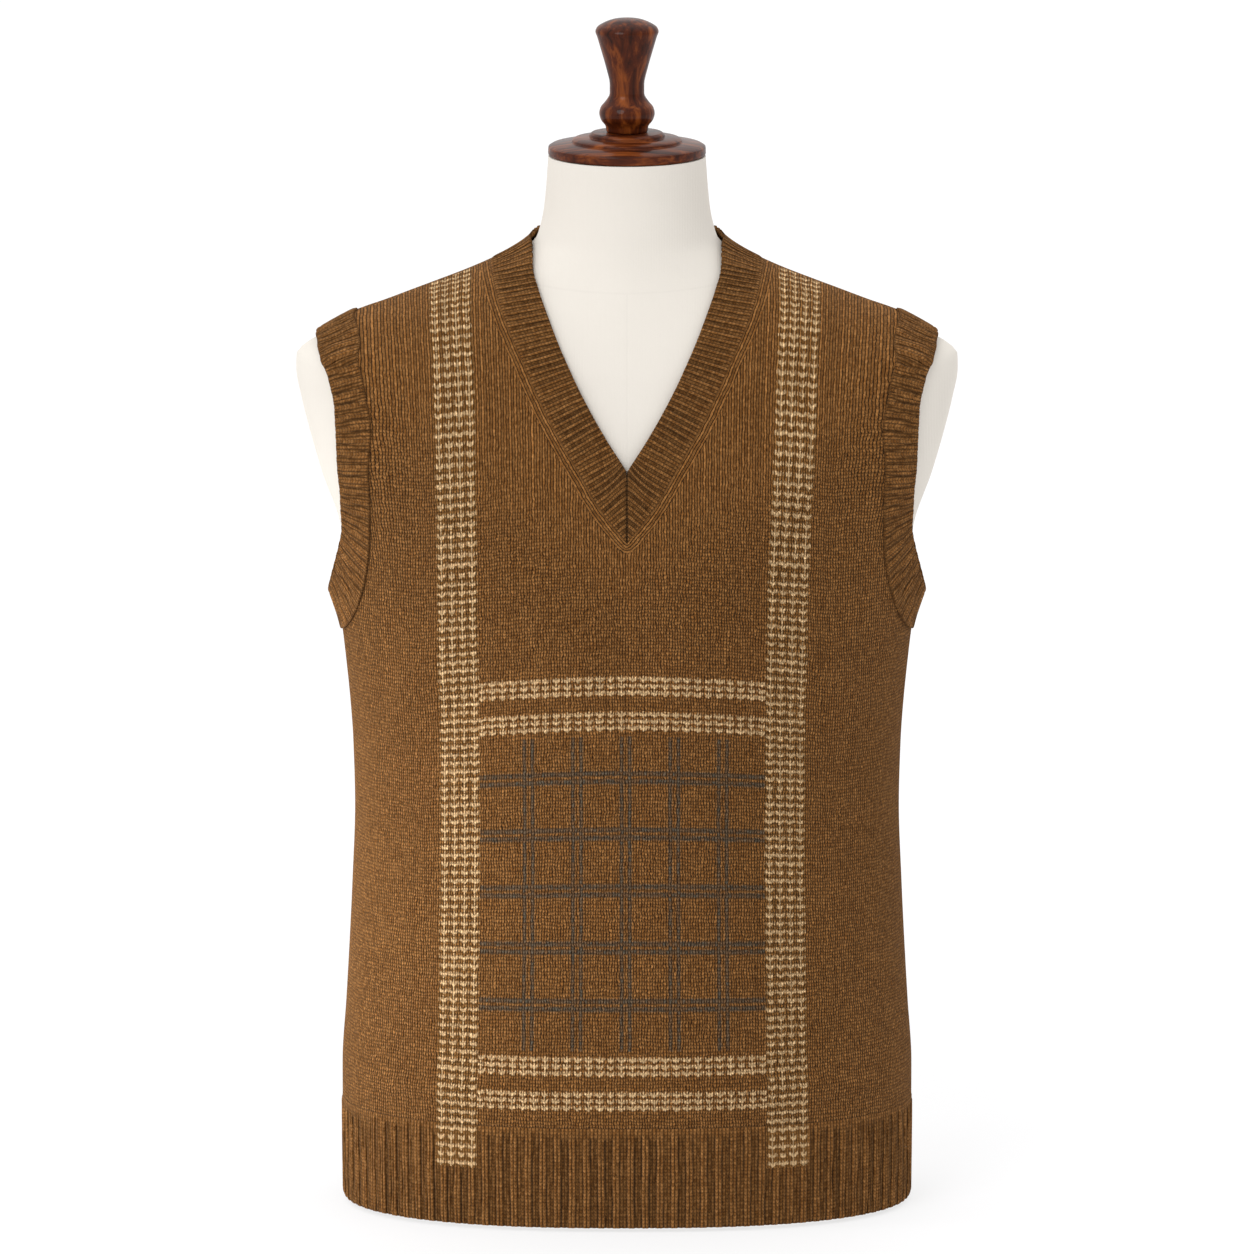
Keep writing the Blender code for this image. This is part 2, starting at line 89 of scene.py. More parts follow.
def table_at(table, keys, at):
    """A table's columns at many places, on curves that never swing past a row's own values."""
    rows, keys = np.array(table, float), np.array(keys, float)
    at = np.atleast_1d(np.asarray(at, float))
    gaps = np.diff(keys)
    slopes = np.diff(rows, axis=0) / gaps[:, None]
    product, total = slopes[:-1] * slopes[1:], slopes[:-1] + slopes[1:]
    turning = product <= 0
    middle = np.where(turning, 0.0, 2 * product / np.where(turning, 1.0, total))
    tangents = np.vstack([slopes[:1], middle, slopes[-1:]])
    i = np.clip(np.searchsorted(keys, at, side="right") - 1, 0, len(gaps) - 1)
    t = np.clip((at - keys[i]) / gaps[i], 0, 1)[:, None]
    values = (
        rows[i] * (2 * t**3 - 3 * t**2 + 1)
        + rows[i + 1] * (3 * t**2 - 2 * t**3)
        + tangents[i] * gaps[i][:, None] * (t**3 - 2 * t**2 + t)
        + tangents[i + 1] * gaps[i][:, None] * (t**3 - t**2)
    )
    return type(table[0])(*values.T)


def torso_level(z):
    return table_at(TORSO, [level.z for level in TORSO], z)


def torso_place(turn, z, side, lift=0.0):
    """Points off the form: turn is 0 at the centre line and 1 at the side, side is -1 in front."""
    level, above, below = torso_level(z), torso_level(z + 1), torso_level(z - 1)
    front = np.asarray(side) < 0
    depth = np.where(front, level.front, level.back)
    depth_slope = np.where(front, above.front - below.front, above.back - below.back) / 2
    across = np.sin(turn * math.pi / 2) ** (2 / level.power)
    along = np.maximum(np.cos(turn * math.pi / 2), 0) ** (2 / level.power)
    out_x = across ** (level.power - 1) / level.half
    out_y = side * along ** (level.power - 1) / depth
    out_z = (
        -(across**level.power) * (above.half - below.half) / 2 / level.half
        - along**level.power * depth_slope / depth
    )
    reach = lift / np.sqrt(out_x**2 + out_y**2 + out_z**2)
    x, y = level.half * across, side * depth * along
    return np.stack([x + out_x * reach, y + out_y * reach, z + out_z * reach], axis=1)


def flat_grids(name, columns, rows, count=1):
    """Flat grids that lie on each other, and each point's two shares of its grid, 0 to 1."""
    bm = bmesh.new()
    for i in range(count):
        bmesh.ops.create_grid(bm, x_segments=columns, y_segments=rows, size=0.5)
    shares = np.array([vert.co[:2] for vert in bm.verts]) + 0.5
    mesh = bpy.data.meshes.new(name)
    bm.to_mesh(mesh)
    bm.free()
    return mesh, shares


def place_points(mesh, points):
    """Moves a mesh's points to places given in millimetres."""
    mesh.vertices.foreach_set("co", (points * MM).astype(np.float32).ravel())
    mesh.update()


def close_mesh(mesh, sharp=180, fill=False):
    """Welds points that meet, and can close the open ends. Edges past `sharp` degrees are crisp."""
    bm = bmesh.new()
    bm.from_mesh(mesh)
    bmesh.ops.remove_doubles(bm, verts=bm.verts, dist=0.00002)
    if fill:
        bmesh.ops.holes_fill(bm, edges=[edge for edge in bm.edges if edge.is_boundary])
        bmesh.ops.recalc_face_normals(bm, faces=bm.faces)
    bm.to_mesh(mesh)
    bm.free()
    mesh.shade_smooth()
    mesh.set_sharp_from_angle(angle=math.radians(sharp))


def lay_flat(mesh, layer, across, up):
    """Writes each point's place on the flat cloth, in millimetres, as a UV map in metres."""
    corners = np.empty(len(mesh.loops), np.int32)
    mesh.loops.foreach_get("vertex_index", corners)
    flat = np.stack([across, up], axis=1)[corners] * MM
    uv = mesh.uv_layers.new(name=layer)
    uv.data.foreach_set("uv", flat.astype(np.float32).ravel())


def paint(mesh, layer, values):
    """Stores a number for each point, which the piece's material reads."""
    points = mesh.attributes.new(layer, "FLOAT", "POINT")
    points.data.foreach_set("value", values.astype(np.float32))


def show(name, mesh, material):
    """Puts a finished mesh in the scene, on the frame's one body."""
    piece = bpy.data.objects.new(name, mesh)
    bpy.context.scene.collection.objects.link(piece)
    mesh.materials.append(material)
    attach(piece, "root")
    return piece


def from_hex(code):
    """An sRGB hex colour as the linear colour that a shader takes."""
    parts = [int(code[i : i + 2], 16) / 255 for i in (1, 3, 5)]
    linear = [c / 12.92 if c <= 0.04045 else ((c + 0.055) / 1.055) ** 2.4 for c in parts]
    return (*linear, 1.0)


def add_node(material, kind, *inputs, **settings):
    """A node with its settings and links. A kind in capitals is a Math node's operation.

    Its inputs, in order, are numbers, colours, nodes, sockets, None to skip one, or tuples
    that add the node behind it.
    """
    if kind.isupper():
        kind, settings["operation"] = "ShaderNodeMath", kind
    node = material.node_tree.nodes.new(kind)
    for key, value in settings.items():
        setattr(node, key, value)
    for socket, value in zip([socket for socket in node.inputs if socket.enabled], inputs):
        if isinstance(value, tuple) and isinstance(value[0], str):
            value = add_node(material, *value)
        if isinstance(value, bpy.types.Node):
            value = next(output for output in value.outputs if output.enabled)
        if isinstance(value, bpy.types.NodeSocket):
            material.node_tree.links.new(value, socket)
        elif value is not None:
            socket.default_value = value
    return node


def new_material(name, roughness, sheen=0.0, coat=0.0):
    """A Principled material, and its shader; what is the same all over is set on its sockets."""
    material = bpy.data.materials.new(name)
    material.use_nodes = True
    shader = material.node_tree.nodes["Principled BSDF"]
    shader.inputs["Roughness"].default_value = roughness
    shader.inputs["Sheen Weight"].default_value = sheen
    shader.inputs["Sheen Roughness"].default_value = 0.5
    shader.inputs["Coat Weight"].default_value = coat
    return material, shader


# Cotton jersey: very fine level knit, matt, slightly mottled where the padding shows through.
# Its wales are drawn 1.1 mm apart, about twice as coarse as the real ones, so that they show.
JERSEY_WALE = 1.1
COVER_SEAM = 0.9  # half the width of a sewn seam
COVER_RELIEF = 0.25
RING_HEIGHT = 649.0  # of the seam round the foot of the neck, at the sides
RING_LEAN = 0.2
MOTTLES, LINT = 14.0, 420.0  # to a metre, so 71 mm and 2.4 mm each
CREAM_DARK = "#d9d3ca"
CREAM_LIGHT = "#e0dad1"
cover, cover_shader = new_material("cotton_jersey_cover", 0.9, sheen=0.15)
cover_shader.inputs["Sheen Tint"].default_value = from_hex("#fff6e6")
place = add_node(cover, "ShaderNodeTexCoord").outputs["Object"]
x, y, z = add_node(cover, "ShaderNodeSeparateXYZ", place).outputs
mottle = add_node(cover, "ShaderNodeTexNoise", place, MOTTLES, 4.0, 0.6)
lint = add_node(cover, "ShaderNodeTexNoise", place, LINT, 3.0, 0.6)
wales = add_node(cover, "SINE", ("MULTIPLY", x, 2 * math.pi / (JERSEY_WALE * MM)))
# One seam rings the foot of the neck, lower in front, and one runs down the centre front
# from there.
above_ring = add_node(
    cover, "SUBTRACT", z, ("MULTIPLY_ADD", y, RING_LEAN, RING_HEIGHT * MM)
)
from_ring = add_node(cover, "ABSOLUTE", above_ring)
from_centre = add_node(cover, "MAXIMUM", ("ABSOLUTE", x), ("MAXIMUM", y, above_ring))
from_seam = add_node(cover, "MINIMUM", from_centre, from_ring)
seam = add_node(cover, "ShaderNodeMapRange", from_seam, 0.0, COVER_SEAM * MM, 1.0, 0.0)
hue = add_node(
    cover,
    "ShaderNodeMix",
    mottle,
    from_hex(CREAM_DARK),
    from_hex(CREAM_LIGHT),
    data_type="RGBA",
)
shaded = add_node(
    cover,
    "ShaderNodeVectorMath",
    hue,
    ("MULTIPLY_ADD", seam.outputs["Result"], -0.03, 1.0),
    operation="SCALE",
)
cover.node_tree.links.new(shaded.outputs["Vector"], cover_shader.inputs["Base Color"])
relief = add_node(cover, "MULTIPLY_ADD", wales, 0.2, lint)
relief = add_node(cover, "MULTIPLY_ADD", seam.outputs["Result"], -0.5, relief)
cover_bump = add_node(cover, "ShaderNodeBump", 0.5, COVER_RELIEF * MM, None, relief)
cover.node_tree.links.new(cover_bump.outputs["Normal"], cover_shader.inputs["Normal"])

FORM_COLUMNS = 192
FORM_ROWS = 230
FORM_TOP = TORSO[-1].z
LOWER_ROWS_CLOSER = 1.3  # the power that draws the grid's rows down to the rounded foot
FOOT_ROUND = 9.0  # the padding's lower edge is rounded up to here
form_mesh, shares = flat_grids("form_body", FORM_COLUMNS, FORM_ROWS)
quarter = shares[:, 0] * 4
turn = 1 - np.abs(quarter % 2 - 1)
side = np.where((quarter < 1) | (quarter >= 3), -1, 1)
z = FORM_TOP * shares[:, 1] ** LOWER_ROWS_CLOSER
below = np.clip(1 - z / FOOT_ROUND, 0, 1)
points = torso_place(turn, z, side, -FOOT_ROUND * (1 - np.sqrt(1 - below**2)))
points[:, 2] = z
points[:, 0] *= np.where(quarter > 2, -1, 1)
place_points(form_mesh, points)
close_mesh(form_mesh, sharp=50, fill=True)
form_body = show("dress_form_body", form_mesh, cover)
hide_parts("form_body")

# ---- Dress form: neck cap and finial --------------------------------------
# Beech turned on a lathe, stained dark and given a glossy varnish. The cap closes the
# neck in three steps, and the finial's foot is dowelled into it.

TurnedPoint = namedtuple("TurnedPoint", "radius z")
NECK_CAP = [
    TurnedPoint(0.0, 735.0),
    TurnedPoint(23.6, 735.0),
    TurnedPoint(25.4, 733.6),
    TurnedPoint(25.6, 731.6),
    TurnedPoint(35.4, 730.9),
    TurnedPoint(37.2, 729.8),
    TurnedPoint(37.4, 728.4),
    TurnedPoint(51.2, 726.4),
    TurnedPoint(53.2, 725.2),
    TurnedPoint(53.4, 720.6),
    TurnedPoint(52.2, 719.3),
    TurnedPoint(0.0, 719.3),
]
FINIAL = [
    TurnedPoint(0.0, 812.7),
    TurnedPoint(8.0, 812.0),
    TurnedPoint(15.5, 809.5),
    TurnedPoint(20.4, 806.2),
    TurnedPoint(21.4, 803.6),
    TurnedPoint(20.2, 800.0),
    TurnedPoint(17.4, 790.5),
    TurnedPoint(14.0, 778.5),
    TurnedPoint(11.7, 768.0),
    TurnedPoint(11.7, 761.5),
    TurnedPoint(14.6, 756.0),
    TurnedPoint(17.8, 752.0),
    TurnedPoint(18.8, 748.0),
    TurnedPoint(17.7, 743.6),
    TurnedPoint(14.6, 739.4),
    TurnedPoint(13.6, 735.3),
    TurnedPoint(0.0, 735.3),
]
TURNING_STEPS = 96
WORN_EDGE = 0.4
# Beech rays and pores, to a metre across the grain: 6 mm and 1.4 mm. Along it they are
# drawn out eight times as long.
STREAKS, PORES = 170.0, 700.0
GRAIN_DRAWN_OUT = 0.12
PORE_DEPTH = 0.2
STAINS = ((0.3, "#1c0702"), (0.5, "#4a1d08"), (0.72, "#884619"))  # from dark streaks to pale


def turned_wood(name, profile, smooth_between, along_grain):
    """Spins a profile into a closed piece of dark beech; along_grain draws its grain out."""
    # Stained and varnished beech: red-brown with fine long streaks under a hard bright gloss.
    wood, shader = new_material(name + "_varnished_beech", 0.4, coat=0.2)
    shader.inputs["Coat Roughness"].default_value = 0.08
    shader.inputs["Specular IOR Level"].default_value = 0.05
    place = add_node(wood, "ShaderNodeTexCoord").outputs["Object"]
    grain = add_node(wood, "ShaderNodeMapping", place, None, None, along_grain)
    streaks = add_node(wood, "ShaderNodeTexNoise", grain, STREAKS, 5.0, 0.65, None, 0.4)
    pores = add_node(wood, "ShaderNodeTexNoise", grain, PORES, 2.0, 0.5)
    tones = add_node(wood, "ShaderNodeValToRGB", streaks)
    tones.color_ramp.elements.new(0.5)
    for element, (at, code) in zip(tones.color_ramp.elements, STAINS):
        element.position, element.color = at, from_hex(code)
    wood.node_tree.links.new(tones.outputs["Color"], shader.inputs["Base Color"])
    bump = add_node(wood, "ShaderNodeBump", 0.12, PORE_DEPTH * MM, None, pores)
    wood.node_tree.links.new(bump.outputs["Normal"], shader.inputs["Normal"])

    # The long curves between two of the profile's points are cut four times as fine.
    first, last = smooth_between
    numbers = list(range(len(profile)))
    curve = [first + i / 4 for i in range((last - first) * 4 + 1)]
    points = table_at(profile, numbers, numbers[:first] + curve + numbers[last + 1 :])
    bm = bmesh.new()
    verts = [bm.verts.new((r * MM, 0, z * MM)) for r, z in zip(points.radius, points.z)]
    edges = [bm.edges.new(pair) for pair in zip(verts, verts[1:])]
    bmesh.ops.spin(
        bm,
        geom=verts + edges,
        cent=(0, 0, 0),
        axis=(0, 0, 1),
        angle=2 * math.pi,
        steps=TURNING_STEPS,
        use_merge=True,
    )
    mesh = bpy.data.meshes.new(name)
    bm.to_mesh(mesh)
    bm.free()
    close_mesh(mesh, sharp=40, fill=True)
    piece = show(name, mesh, wood)
    worn = piece.modifiers.new("worn edges", "BEVEL")
    worn.width = WORN_EDGE * MM
    worn.segments = 2
    worn.angle_limit = math.radians(30)
    return piece


neck_cap = turned_wood("turned_neck_cap", NECK_CAP, (0, 0), (GRAIN_DRAWN_OUT, 1.0, 1.0))
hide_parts("neck_cap")
finial = turned_wood("turned_finial", FINIAL, (1, 15), (1.0, 1.0, GRAIN_DRAWN_OUT))
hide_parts("finial")

# ---- Knitted front and back -----------------------------------------------
# Lambswool, knitted to shape in stocking stitch: a V-necked front with two dogtooth stripes,
# two pairs of bars and a windowpane check knitted in, and a plain back. Each is one single
# thickness, linked to the other at the shoulders and the sides.

# The V from its point to the shoulder: seam on the panel, then the neckband's free edge.
# An x past the shoulder's ridge is held on it.
NeckRow = namedtuple("NeckRow", "seam_x seam_z edge_x edge_z")
FRONT_NECK = [
    NeckRow(0.0, 473.0, 0.0, 520.0),
    NeckRow(17.5, 494.7, 4.5, 527.0),
    NeckRow(33.0, 521.0, 13.0, 540.0),
    NeckRow(49.0, 548.5, 24.5, 559.5),
    NeckRow(61.5, 573.5, 35.0, 579.5),
    NeckRow(71.5, 594.5, 44.5, 599.5),
    NeckRow(80.0, 612.0, 52.0, 617.5),
    NeckRow(86.5, 628.5, 58.5, 634.5),
    NeckRow(90.0, 640.0, 62.3, 648.0),
    NeckRow(92.2, 645.0, 61.8, 662.0),
]

# The back neckline, from the centre to the shoulder. The band stands up round the nape.
BACK_NECK = [
    NeckRow(0.0, 637.0, 0.0, 669.0),
    NeckRow(25.0, 637.5, 18.0, 668.8),
    NeckRow(48.0, 638.0, 35.0, 668.5),
    NeckRow(68.0, 639.5, 49.0, 667.8),
    NeckRow(83.0, 642.0, 59.5, 664.8),
    NeckRow(92.2, 645.0, 61.8, 662.0),
]

# The armhole in side view, from the underarm to the shoulder, the same in front and behind.
# flare is how far the band's free edge stands off the line of the cloth.
ArmholeRow = namedtuple("ArmholeRow", "seam_y seam_z edge_y edge_z flare")
ARMHOLE = [
    ArmholeRow(0.0, 397.0, 0.0, 424.0, 6.0),
    ArmholeRow(24.0, 400.0, 11.0, 425.5, 5.7),
    ArmholeRow(43.0, 409.0, 21.0, 432.5, 4.7),
    ArmholeRow(55.0, 424.5, 31.0, 446.0, 3.0),
    ArmholeRow(61.5, 445.0, 38.5, 462.0, 1.6),
    ArmholeRow(66.0, 475.0, 44.5, 481.0, 0.7),
    ArmholeRow(70.0, 505.0, 51.5, 504.0, 0.1),
    ArmholeRow(69.5, 534.0, 53.0, 531.0, 0.0),
    ArmholeRow(64.0, 561.0, 51.0, 555.0, 0.0),
    ArmholeRow(56.0, 581.5, 45.5, 573.5, 0.0),
    ArmholeRow(41.5, 596.0, 35.5, 585.5, 0.0),
    ArmholeRow(21.0, 606.2, 17.5, 593.3, 0.0),
    ArmholeRow(0.0, 610.6, 0.0, 596.1, 0.0),
]

KNIT_WALL = 2.2  # from the cloth's inside to its outside
CLOTH = 2.0  # how thick the fine sheet is drawn
SEAM_GAP = 0.1
HEM_TOP = 72.0
UNDERARM = 397.0
WALE = 1.82  # from one column of stitches to the next
ROW = 2.35  # from one row of stitches to the next
STITCH_DEPTH = 1.1

# The knitting chart, in stitches from the centre line and rows from the hem rib.
STRIPE_MIDDLE = 63.0
STRIPE_REACH = 8.0
# The stripe at +X is knitted in a little nearer the centre: by the first number of stitches
# below the first row, and by the second above the second row.
RIGHT_STRIPE_ROWS = (150.0, 205.0)
RIGHT_STRIPE_IN = (3.7, 1.4)
STRIPE_FOOT = -12.4
STRIPE_ROWS = 2.5  # from one mark to the next up the stripe
STRETCHED_FROM = 160.0  # the marks stand further apart above this row
STRETCH = 0.13
BAR_ROWS = 2.0
MARK_STITCHES = 4.0
BAR_MIDDLES = (8.1, 18.1, 116.9, 127.2)
BAR_REACH = 3.0
PANE_MIDDLE = -0.5
PANE_STITCHES = 18.0  # from one pair of slate lines to the next
PANE_STITCHES_APART = 3.0  # from one slate line of a pair to the other
PANE_TOP_ROW = 100.6
PANE_ROWS = 16.25
PANE_ROWS_APART = 2.3
PANE_REACH = 47.0  # how far the panes' lines run, from the centre line
PANE_ROWS_MIDDLE = 67.5
PANE_ROWS_REACH = 45.0
EDGE_STITCHES = 4.0  # beside the V this many wales follow it

# Yarn shades: brown heather in two tones, and the colours knitted in.
# Their patterns are counted to a metre of cloth: fibres of 0.4 mm, lumps in the yarn of
# 2 mm, stitches that wander over 11 mm and clouds of shade over 38 mm.
WOOL_DARK = "#54310f"
WOOL_LIGHT = "#835b32"
STRIPE_GROUND = "#61461f"
SLATE = "#433e35"
CREAM = "#d3b184"
FIBRES, LUMPS, WOBBLES, WANDERS, CLOUDS = 2600.0, 480.0, 520.0, 90.0, 26.0


# One dogtooth mark, in stitches from its own middle: an upright stitch, two arms that rise
# outwards from it, and a dot between it and the next mark.
ARM_RISE = 0.45
ARM_DROP = -0.4
ARM_THICK = 0.46  # half its thickness
ARM_REACH = 1.05
ARM_MORE = 0.7  # an arm reaches up to this much further
UPRIGHT_THICK = 0.18
UPRIGHT_REACH = 0.1
DOT_UP = 0.1
DOT_MORE = 0.4
DOT_LEAST = -0.2  # at this size no dot shows
MARK_EDGE = 0.2  # how softly a mark fades into the ground


def dogtooth_marks(wool, across, up, rows, wobble):
    """Where the cream shows, 0 to 1, in cells four stitches wide and `rows` high."""
    column = add_node(wool, "FLOOR", ("DIVIDE", across, MARK_STITCHES))
    line = add_node(wool, "FLOOR", ("DIVIDE", up, rows))
    cell = add_node(wool, "ShaderNodeCombineXYZ", column, line)
    chance = add_node(wool, "ShaderNodeTexWhiteNoise", cell, noise_dimensions="2D")
    chances = add_node(wool, "ShaderNodeSeparateXYZ", chance.outputs["Color"]).outputs
    x = add_node(wool, "FLOORED_MODULO", across, MARK_STITCHES)
    x = add_node(wool, "ABSOLUTE", ("SUBTRACT", x, MARK_STITCHES / 2))
    y = add_node(wool, "FLOORED_MODULO", up, rows)
    y = add_node(wool, "ADD", ("SUBTRACT", y, rows / 2), wobble)
    arm = add_node(wool, "ABSOLUTE", ("SUBTRACT", y, ("MULTIPLY_ADD", x, ARM_RISE, ARM_DROP)))
    arm_end = add_node(wool, "SUBTRACT", x, ("MULTIPLY_ADD", chances[0], ARM_MORE, ARM_REACH))
    arms = add_node(wool, "MAXIMUM", ("SUBTRACT", arm, ARM_THICK), arm_end)
    # In some marks the upright stitch reaches down to the next one.
    reach = add_node(wool, "MULTIPLY_ADD", chances[1], rows, UPRIGHT_REACH)
    upright = add_node(
        wool, "MAXIMUM", ("SUBTRACT", x, UPRIGHT_THICK), ("SUBTRACT", ("ABSOLUTE", y), reach)
    )
    dot_x = add_node(wool, "SUBTRACT", x, MARK_STITCHES / 2)
    dot_y = add_node(wool, "SUBTRACT", y, DOT_UP)
    dot = add_node(wool, "ADD", ("MULTIPLY", dot_x, dot_x), ("MULTIPLY", dot_y, dot_y))
    dot = add_node(wool, "SUBTRACT", dot, ("MULTIPLY_ADD", chances[2], DOT_MORE, DOT_LEAST))
    outside = add_node(wool, "MINIMUM", ("MINIMUM", arms, upright), dot)
    return add_node(wool, "ShaderNodeMapRange", outside, -MARK_EDGE, MARK_EDGE, 1.0, 0.0)


# One stitch, in shares of its wale and row, is a V of two strands.
STRAND_MIDDLE = 0.13  # of a strand, from the middle of the wale
STRAND_SLIM = 3.3  # one over half a strand's width
STRAND_TAPER = 1.8  # how a strand thins towards its ends, less by DRAWN_TAPER where drawn
DRAWN_TAPER = 1.0
COLUMN_CHANGES = 0.55  # how often the shade changes from wale to wale
GROOVE_EDGES = (0.04, 0.24)  # of the groove between two ridges of drawn cloth
FURROW_SHADE_EDGES = (0.4, 1.3)  # of the painted shade in the linked chain's furrow, in millimetres


def knitted_wool(name, charted=False, sway=2.2, plump=0.0):
    """Stocking stitch for cloth whose UV maps hold its flat size; it may have the front's chart.

    sway is how many stitches the columns and rows wander, and plump how far the yarn fills
    the hollows between its own strands, which lessens the painted shade in them.
    """
    # Brushed lambswool: matt, each stitch a pair of plump strands, lighter on their crowns and
    # darker in the hollows between them with painted light and shade, heathered from stitch to
    # stitch, and a pale bloom of fibres at glancing angles.
    wool, shader = new_material(name, 0.95, sheen=0.2)
    shader.inputs["Sheen Tint"].default_value = from_hex("#d8ac80")
    shader.inputs["Specular IOR Level"].default_value = 0.05
    flat = add_node(wool, "ShaderNodeUVMap", uv_map="Flat cloth")
    x, y, _ = add_node(wool, "ShaderNodeSeparateXYZ", flat).outputs
    wale = add_node(wool, "DIVIDE", x, WALE * MM)
    row = add_node(wool, "DIVIDE", y, ROW * MM)
    stitch_wale, stitch_row = wale, row
    if charted:
        # Close to a shaped edge or in a rib the stitches follow a second map, not the chart's.
        edge = add_node(wool, "ShaderNodeUVMap", uv_map="Edge stitches")
        edge_x, edge_y, _ = add_node(wool, "ShaderNodeSeparateXYZ", edge).outputs
        inwards = add_node(wool, "ShaderNodeMapRange", row, *RIGHT_STRIPE_ROWS, *RIGHT_STRIPE_IN)
        inwards = add_node(wool, "MULTIPLY", inwards, ("GREATER_THAN", wale, 0.0))
        from_middle = add_node(wool, "ADD", ("ABSOLUTE", wale), inwards)
        in_stripe = add_node(wool, "COMPARE", from_middle, STRIPE_MIDDLE, STRIPE_REACH)
        in_stripe = add_node(wool, "MULTIPLY", in_stripe, ("GREATER_THAN", row, STRIPE_FOOT))
        at_edge = add_node(wool, "LESS_THAN", edge_x, EDGE_STITCHES * WALE * MM)
        at_edge = add_node(wool, "MULTIPLY", at_edge, ("SUBTRACT", 1.0, in_stripe))
        edge_wale = add_node(wool, "MULTIPLY_ADD", edge_x, 1 / (WALE * MM), 0.5)
        stitch_wale = add_node(wool, "ShaderNodeMix", at_edge, wale, edge_wale)
        stitch_row = add_node(wool, "ShaderNodeMix", at_edge, row, ("DIVIDE", edge_y, ROW * MM))

    # The yarn is uneven, so no column or row of stitches runs quite straight.
    # Where the cloth is drawn upwards its rows close up, and its wales run straighter.
    drawn = add_node(wool, "ShaderNodeAttribute", attribute_name="Drawn").outputs["Fac"]
    wander = add_node(wool, "ShaderNodeTexNoise", flat, WANDERS, 3.0, 0.75).outputs["Color"]
    wander_x, wander_y, _ = add_node(wool, "ShaderNodeSeparateXYZ", wander).outputs
    wander_x = add_node(
        wool, "MULTIPLY", ("SUBTRACT", wander_x, 0.5), ("MULTIPLY_ADD", drawn, -0.5 * sway, sway)
    )
    stitch_wale = add_node(wool, "ADD", wander_x, stitch_wale)
    stitch_row = add_node(wool, "MULTIPLY_ADD", ("SUBTRACT", wander_y, 0.5), sway, stitch_row)

    # Each stitch is a V: its strands rise half a row from the middle of the wale outwards.
    # Painted shade in a rib's grooves, which the rib pieces store; the panels have none.
    rib_shade = add_node(wool, "ShaderNodeAttribute", attribute_name="Hollow").outputs["Fac"]
    number = add_node(wool, "FLOOR", ("ADD", stitch_wale, 0.5))
    aside = add_node(wool, "ABSOLUTE", ("SUBTRACT", stitch_wale, number))
    climbed = add_node(wool, "SUBTRACT", stitch_row, aside)
    course = add_node(wool, "FLOOR", climbed)
    along = add_node(wool, "SUBTRACT", ("SUBTRACT", climbed, course), 0.5)
    along = add_node(wool, "MULTIPLY", along, ("MULTIPLY_ADD", drawn, -DRAWN_TAPER, STRAND_TAPER))
    across = add_node(wool, "MULTIPLY", ("SUBTRACT", aside, STRAND_MIDDLE), STRAND_SLIM)
    height = add_node(
        wool,
        "MULTIPLY",
        ("MAXIMUM", ("SUBTRACT", 1.0, ("MULTIPLY", across, across)), 0.0),
        ("SUBTRACT", 1.0, ("MULTIPLY", along, along)),
    )
    stitch = add_node(wool, "ShaderNodeCombineXYZ", number, course)
    heather = add_node(wool, "ShaderNodeTexWhiteNoise", stitch, noise_dimensions="2D")
    column = add_node(
        wool, "ShaderNodeTexNoise", stitch_wale, COLUMN_CHANGES, 2.0, 0.7, noise_dimensions="1D"
    )
    # Drawn cloth gathers into ridges two wales wide, with a groove between them: sunk in the
    # relief, and darkened with painted shade.
    shaded_groove = add_node(wool, "FRACT", ("MULTIPLY", stitch_wale, 0.5))
    shaded_groove = add_node(wool, "ABSOLUTE", ("SUBTRACT", shaded_groove, 0.5))
    shaded_groove = add_node(wool, "ShaderNodeMapRange", shaded_groove, *GROOVE_EDGES, 1.0, 0.0)
    shaded_groove = add_node(wool, "MULTIPLY", ("MULTIPLY", shaded_groove, drawn), column)
    fibre = add_node(wool, "ShaderNodeTexNoise", flat, FIBRES, 3.0, 0.65)
    lumps = add_node(wool, "ShaderNodeTexNoise", flat, LUMPS, 2.0, 0.6)
    cloud = add_node(wool, "ShaderNodeTexNoise", flat, CLOUDS, 3.0, 0.6)

    # Each stitch has its own shade, and the fibres in it theirs.
    tone = add_node(wool, "MULTIPLY_ADD", heather, 0.55, ("MULTIPLY_ADD", fibre, 0.5, -0.02))
    colour = add_node(
        wool,
        "ShaderNodeMix",
        tone,
        from_hex(WOOL_DARK),
        from_hex(WOOL_LIGHT),
        data_type="RGBA",
    )
    if charted:
        wobble = add_node(wool, "ShaderNodeTexNoise", flat, WOBBLES, 2.0, 0.5)
        wobble = add_node(wool, "MULTIPLY_ADD", wobble, 1.4, -0.7)
        # The stripes' marks sit in columns, and the bars' in three rows at their own height.
        beside = add_node(wool, "SUBTRACT", from_middle, STRIPE_MIDDLE - STRIPE_REACH)
        stretched = add_node(wool, "MAXIMUM", ("SUBTRACT", row, STRETCHED_FROM), 0.0)
        stretched = add_node(wool, "MULTIPLY_ADD", stretched, -STRETCH, row)
        stripe_marks = dogtooth_marks(wool, beside, stretched, STRIPE_ROWS, wobble)
        inside_stripes = add_node(wool, "LESS_THAN", from_middle, STRIPE_MIDDLE - STRIPE_REACH)
        in_bars, from_bar = 0.0, 0.0
        for middle in BAR_MIDDLES:
            in_bar = add_node(wool, "COMPARE", row, middle, BAR_REACH)
            in_bars = add_node(wool, "ADD", in_bars, in_bar)
            from_foot = add_node(wool, "SUBTRACT", row, middle - BAR_REACH)
            from_bar = add_node(wool, "MULTIPLY_ADD", in_bar, from_foot, from_bar)
        in_bars = add_node(wool, "MULTIPLY", in_bars, inside_stripes)
        bar_marks = dogtooth_marks(wool, wale, from_bar, BAR_ROWS, wobble)
        cream = add_node(
            wool,
            "ADD",
            ("MULTIPLY", stripe_marks, in_stripe),
            ("MULTIPLY", bar_marks, in_bars),
        )
